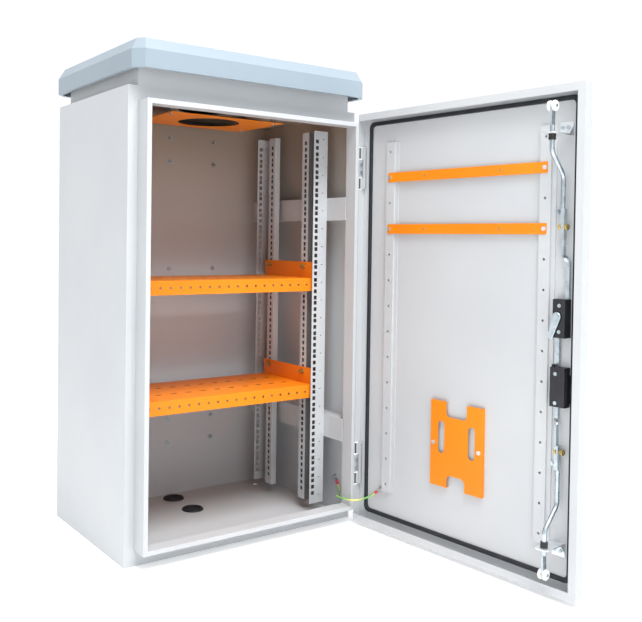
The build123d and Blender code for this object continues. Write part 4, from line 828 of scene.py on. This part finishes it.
@dataclass
class JointBolts:
    """The yellow bolts that join the rack bars to the rods: washers, hexagon nuts and a thread's end."""

    middle: tuple[float, float] = (0.33125, -0.79174)
    heights: tuple[float, float] = (0.717, 0.285)
    turn: float = 94.5
    grip: float = 3.95 * MM
    washer: tuple[float, float] = (6.6 * MM, 1.2 * MM)
    nut: tuple[float, float] = (6.1 * MM, 4.4 * MM)
    thread: tuple[float, float] = (2.6 * MM, 2.4 * MM)
    names: tuple[str, str] = ("upper_joint_bolt", "lower_joint_bolt")
    bodies: tuple[str, str] = ("upper_rod_set", "lower_rod_set")

    def build(self, dresser: Dresser) -> None:
        """Makes both bolts, each as one piece that moves with its rod.

        Args:
            dresser: The finishes.
        """
        stack = self.washer[1] + self.nut[1]
        end = self.grip + stack
        for name, height, body in zip(self.names, self.heights, self.bodies):
            parts = [disc("near_washer", 32, self.washer[0], -self.grip, self.washer[1]),
                     disc("near_nut", 6, self.nut[0], -self.grip - self.washer[1], self.nut[1]),
                     disc("far_washer", 32, self.washer[0], self.grip + self.washer[1], self.washer[1]),
                     disc("far_head", 6, self.nut[0], end, self.nut[1]),
                     disc("shank", 20, self.thread[0], end, 2 * end + self.thread[1])]
            deselect()
            for part in parts:
                part.select_set(True)
            bpy.context.view_layer.objects.active = parts[0]
            bpy.ops.object.join()
            bolt = bpy.context.object
            bolt.name = f"yellow_{name}"
            place = Matrix.Translation((*self.middle, height))
            bolt.data.transform(place @ Matrix.Rotation(radians(self.turn), 4, "Z"))
            dresser.dress(bolt, Surface.YELLOW_ZINC)
            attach(bolt, body)
            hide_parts(name)
            log.info("%s: %d faces", bolt.name, len(bolt.data.polygons))


@dataclass
class InnerShade:
    """Painted shade: a near-black coat inside hood, neck and ceiling, and a brownish painted shade that
    darkens the shell's inside with height.
    """

    # painted shade: the hood's underside, the neck's inside and a patch over the fan plate are coated
    # near-black
    hood: Box = ((-0.288, -0.229, 1.0), (0.288, 0.202, 1.0775))
    neck: Box = ((-0.2772, -0.1992, 1.0016), (0.2772, 0.1832, 1.1))
    ceiling_shade: Box = ((-0.03, 0.045, 0.986), (0.19, 0.1992, 0.9994))
    # painted shade: the shell's inner walls darken towards the top
    room: Box = ((-0.2995, -0.27, 0.45), (0.2995, 0.199, 1.15))
    coat: Colour = (0.02, 0.016, 0.014)
    # painted shade colour at the top of the shell's inside
    painted_shade_colour: Colour = (0.36, 0.26, 0.18)

    def build(self, dresser: Dresser) -> None:
        """Dresses the three nodes.

        Args:
            dresser: The finishes.
        """
        roof: PowderCoat = FINISHES[Surface.ROOF]
        body: PowderCoat = FINISHES[Surface.BODY]
        shade = (self.room, self.painted_shade_colour)
        paints = {"roof_cap": roof.with_painted_shade("hood paint", [self.hood], self.coat),
                  "roof_neck": body.with_painted_shade("neck paint", [self.neck], self.coat),
                  "cabinet_shell": body.with_painted_shade("shell paint", [self.ceiling_shade], self.coat, shade)}
        for node, paint in paints.items():
            dresser.put(frame["nodes"][node], paint)
        log.info("dressed the inner coats")


@dataclass
class Hinges:
    """The hinge brackets and leaves in a darker copy of the body paint as painted shade, with painted
    shade where the brackets' arms leave the rim.
    """

    # painted shade: dark bands on the arms where they leave the rim
    slots: Box = ((0.2816, -0.26, 0.0), (0.2846, -0.236, 1.0))
    slot_shade: Colour = (0.012, 0.014, 0.018)
    # painted shade: a darker copy of the body paint for the brackets and leaves
    coat: PowderCoat = PowderCoat("hinge coat", (0.43, 0.45, 0.465), (0.41, 0.43, 0.445))
    nodes: tuple[str, ...] = ("lower_hinge_bracket", "upper_hinge_bracket")
    leaves: tuple[str, ...] = ("lower_hinge_leaf", "upper_hinge_leaf")

    def build(self, dresser: Dresser) -> None:
        """Dresses the brackets, the leaves and the pins.

        Args:
            dresser: The finishes.
        """
        paint = self.coat.with_painted_shade("hinge paint", [self.slots], self.slot_shade)
        plain = self.coat.material()
        for node in self.leaves:
            dresser.put(frame["nodes"][node], plain)
        for node in self.nodes:
            dresser.put(frame["nodes"][node], paint)
        dresser.dress(frame["nodes"]["hinge_pins"], Surface.BODY)
        log.info("dressed the hinges")


@dataclass
class EarthWire:
    """The green and yellow wire between the body's earth stud and the door's."""

    first: Sequence[Point] = ()
    diameter: float = 4.0 * MM
    turns: float = 2.5
    sides: int = 20
    hinge: Point = (0.29422, -0.24675, 0.0)
    open_turn: float = 94.5
    middle: tuple[Point, ...] = (
        (289.3, -177.6, 54), (278.4, -185.9, 51.2), (267.6, -193.2, 54.5), (258.7, -203.8, 58.2),
        (253.9, -217.2, 60.6), (253.4, -231.6, 61.5), (258.4, -245, 61.2), (266.6, -256.6, 61),
        (276.3, -266.6, 62), (284.6, -273.6, 65.2), (292.9, -280.6, 70.6))
    body_stud: Point = (0.2985, -0.150, 0.088)
    body_turn: float = 35.0
    door_stud: tuple[float, float] = (0.074, 0.097)
    door_turn: float = 52.0
    reach: float = 0.020
    lead: float = 0.012
    rise: float = 0.0032

    def on_door(self, across: float, deep: float, height: float) -> Vector:
        """A point of the open door.

        Args:
            across: From the hinge edge.
            deep: From the outer face inwards.
            height: Above the floor.

        Returns:
            The point in the shared frame.
        """
        turn = Matrix.Rotation(radians(self.open_turn), 4, "Z")
        hinge = Vector(self.hinge)
        return turn @ (Vector((0.3 - across, deep - 0.253, height)) - hinge) + hinge

    def body_direction(self) -> Vector:
        """The way that the body's lug points."""
        turn = radians(self.body_turn)
        return Vector((0.0, -sin(turn), -cos(turn)))

    def door_direction(self) -> Vector:
        """The way that the door's lug points."""
        turn = radians(self.door_turn)
        level = self.on_door(0.0, 0.0, 0.0) - self.on_door(1.0, 0.0, 0.0)
        return level * sin(turn) - Vector((0.0, 0.0, cos(turn)))

    def door_point(self, deep: float) -> Vector:
        """The door's stud, at a depth from the outer face."""
        return self.on_door(self.door_stud[0], deep, self.door_stud[1])

    def route(self) -> list[Vector]:
        """The wire's control points, from the body's sleeve to the door's."""
        out = Vector(self.body_stud) + Vector((-self.rise, 0.0, 0.0))
        back = self.door_point(0.0015 + self.rise)
        first = [out + self.body_direction() * reach for reach in (self.reach, self.reach + self.lead)]
        last = [back + self.door_direction() * reach for reach in (self.reach + self.lead, self.reach)]
        return [*first, *[Vector(point) * MM for point in self.middle], *last]

    def centreline(self) -> list[Vector]:
        """Points along the smooth spline through the route."""
        curve = bpy.data.curves.new("wire_route", "CURVE")
        curve.dimensions = "3D"
        spline = curve.splines.new("NURBS")
        points = self.route()
        spline.points.add(len(points) - 1)
        for target, point in zip(spline.points, points):
            target.co = (*point, 1.0)
        spline.order_u = 3
        spline.use_endpoint_u = True
        spline.resolution_u = 12
        carrier = bpy.data.objects.new("wire_route", curve)
        mesh = bpy.data.meshes.new_from_object(carrier)
        line = [vertex.co.copy() for vertex in mesh.vertices]
        bpy.data.objects.remove(carrier)
        bpy.data.curves.remove(curve)
        bpy.data.meshes.remove(mesh)
        return line

    def build(self, dresser: Dresser) -> bpy.types.Object:
        """Makes the wire as a striped tube that bends between cabinet and door.

        Args:
            dresser: The finishes.

        Returns:
            The wire.
        """
        line = self.centreline()
        radius = self.diameter / 2
        across = Vector((1.0, 0.0, 0.0))
        vertices: list[Vector] = []
        for index, point in enumerate(line):
            ahead = line[min(index + 1, len(line) - 1)] - line[max(index - 1, 0)]
            ahead.normalize()
            across = (across - ahead * across.dot(ahead)).normalized()
            third = ahead.cross(across)
            for side in range(self.sides):
                turn = 2 * pi * side / self.sides
                vertices.append(point + (across * cos(turn) + third * sin(turn)) * radius)
        faces = []
        stripe = []
        for index in range(len(line) - 1):
            for side in range(self.sides):
                nearby = (side + 1) % self.sides
                low, high = index * self.sides, (index + 1) * self.sides
                faces.append((low + side, low + nearby, high + nearby, high + side))
                share = (side / self.sides + self.turns * index / len(line)) % 1.0
                stripe.append(1.0 if share < 0.45 else 0.0)
        for start, order in ((0, -1), ((len(line) - 1) * self.sides, 1)):
            faces.append(tuple(start + side for side in range(self.sides))[::order])
            stripe.append(0.0)
        mesh = bpy.data.meshes.new("green_yellow_wire")
        mesh.from_pydata(vertices, [], faces)
        layer = mesh.attributes.new("stripe", "FLOAT", "FACE")
        layer.data.foreach_set("value", stripe)
        wire = bpy.data.objects.new("green_yellow_wire", mesh)
        bpy.context.scene.collection.objects.link(wire)
        mesh.shade_smooth()
        dresser.dress(wire, Surface.WIRE)
        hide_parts("earth_wire")
        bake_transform(wire)
        return wire

    def dress_terminals(self, dresser: Dresser) -> None:
        """Gives both terminals plated metal and a red sleeve."""
        body = Terminal("body terminal", self.body_stud, tuple(self.body_direction()))
        door = Terminal("door terminal", tuple(self.door_point(0.0015)), tuple(self.door_direction()))
        dresser.put(frame["nodes"]["body_earth_terminal"], body.material())
        dresser.put(frame["nodes"]["door_earth_terminal"], door.material())
        log.info("dressed the two earth terminals")


@dataclass(frozen=True)
class Lamp:
    """A square area light, with its power in watts."""

    name: str
    place: Point
    target: Point
    size: float
    power: float


@dataclass
class Studio:
    """The floor, the lights and the camera at the picture's viewing angle."""

    focal: float = 830.458
    centre: tuple[float, float] = (289.579, 257.537)
    eye: Point = (-1.011858, -1.785614, 0.684702)
    yaw: float = 35.281
    pitch: float = -1.196
    roll: float = 0.785
    sensor: float = 36.0
    far: float = 50.0
    floor_colour: Colour = (0.97, 0.97, 0.97)
    floor_tint: Colour = (0.95, 0.955, 0.96)
    floor_size: float = 24.0
    floor_middle: Point = (0.0, 4.0, -0.0005)
    floor_glow: float = 0.2
    lamps: tuple[Lamp, ...] = (
        Lamp("top", (-0.25, -1.8, 3.45), (0.0, -0.1, 0.3), 1.8, 138.0),
        Lamp("left", (-3.2, -1.2, 1.7), (0.1, -0.2, 0.5), 2.2, 3.0),
        Lamp("fill", (-0.3, -2.2, 0.9), (0.0, 0.1, 0.35), 1.2, 7.0))
    room_strength: float = 1.04
    room_slope: Point = (0.0, 1.0, 0.9)
    room_steps: tuple[float, float] = (0.0, 0.45)
    room: tuple[Colour, Colour] = ((0.34, 0.355, 0.37), (0.985, 0.992, 1.0))

    def camera(self) -> bpy.types.Object:
        """The camera, from the focal length, the centre and the turns."""
        yaw, pitch, roll = (radians(turn) for turn in (self.yaw, self.pitch, self.roll))
        ahead = Vector((sin(yaw) * cos(pitch), cos(yaw) * cos(pitch), sin(pitch)))
        level = Vector((cos(yaw), -sin(yaw), 0.0))
        upright = level.cross(ahead)
        right = level * cos(roll) + upright * sin(roll)
        above = upright * cos(roll) - level * sin(roll)
        data = bpy.data.cameras.new("camera")
        data.sensor_width = self.sensor
        data.lens = self.focal * self.sensor / IMAGE_WIDTH
        data.shift_x = (IMAGE_WIDTH / 2 - self.centre[0]) / IMAGE_WIDTH
        data.shift_y = (self.centre[1] - IMAGE_HEIGHT / 2) / IMAGE_WIDTH
        data.clip_end = self.far
        camera = bpy.data.objects.new("camera", data)
        turn = Matrix((right, above, -ahead)).transposed().to_4x4()
        camera.matrix_world = Matrix.Translation(self.eye) @ turn
        bpy.context.scene.collection.objects.link(camera)
        bpy.context.scene.camera = camera
        return camera

    def floor(self) -> bpy.types.Object:
        """A plain pale floor."""
        deselect()
        bpy.ops.mesh.primitive_plane_add(size=self.floor_size, location=self.floor_middle)
        floor = bpy.context.object
        floor.name = "floor"
        graph = Graph("floor")
        tint = graph.blend(graph.noise(1.5, 2.0), self.floor_colour, self.floor_tint)
        glow = {"Emission_Color": (*self.floor_colour, 1.0), "Emission_Strength": self.floor_glow}
        floor.data.materials.append(graph.finish(Base_Color=tint, Roughness=0.7, **glow))
        return floor

    def light(self, lamp: Lamp) -> None:
        """Adds one soft light.

        Args:
            lamp: The light.
        """
        data = bpy.data.lights.new(lamp.name, "AREA")
        data.size = lamp.size
        data.energy = lamp.power
        piece = bpy.data.objects.new(lamp.name, data)
        turn = (Vector(lamp.target) - Vector(lamp.place)).to_track_quat("-Z", "Y")
        piece.matrix_world = Matrix.Translation(lamp.place) @ turn.to_matrix().to_4x4()
        bpy.context.scene.collection.objects.link(piece)

    def backdrop(self) -> None:
        """A pale surround that is dimmer in front of the cabinet than behind and above it."""
        world = bpy.data.worlds.new("surround")
        world.use_nodes = True
        tree = world.node_tree
        background = tree.nodes["Background"]
        background.inputs["Strength"].default_value = self.room_strength
        place = tree.nodes.new("ShaderNodeTexCoord")
        rise = tree.nodes.new("ShaderNodeVectorMath")
        rise.operation = "DOT_PRODUCT"
        rise.inputs[1].default_value = self.room_slope
        ramp = tree.nodes.new("ShaderNodeValToRGB")
        for element, share, colour in zip(ramp.color_ramp.elements, self.room_steps, self.room):
            element.position = share
            element.color = (*colour, 1.0)
        tree.links.new(place.outputs["Generated"], rise.inputs[0])
        tree.links.new(rise.outputs["Value"], ramp.inputs[0])
        tree.links.new(ramp.outputs[0], background.inputs["Color"])
        bpy.context.scene.world = world

    def build(self) -> None:
        """Makes the whole studio."""
        self.camera()
        self.floor()
        for lamp in self.lamps:
            self.light(lamp)
        self.backdrop()
        bpy.context.scene.view_settings.view_transform = "Standard"
        log.info("studio: camera, floor and lights")


def main() -> None:
    """Builds the camera, the wire and the finishes in order."""
    logging.basicConfig(level=logging.INFO, format="%(name)s: %(message)s")
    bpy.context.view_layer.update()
    Studio().build()
    dresser = Dresser()
    dresser.dress_nodes()
    RackRails().build(dresser)
    ShelfBolts().build(dresser)
    ShelfHoleShade().build(dresser)
    JointBolts().build(dresser)
    InnerShade().build(dresser)
    Hinges().build(dresser)
    wire = EarthWire()
    wire.build(dresser)
    wire.dress_terminals(dresser)


if __name__ == "__main__":
    main()
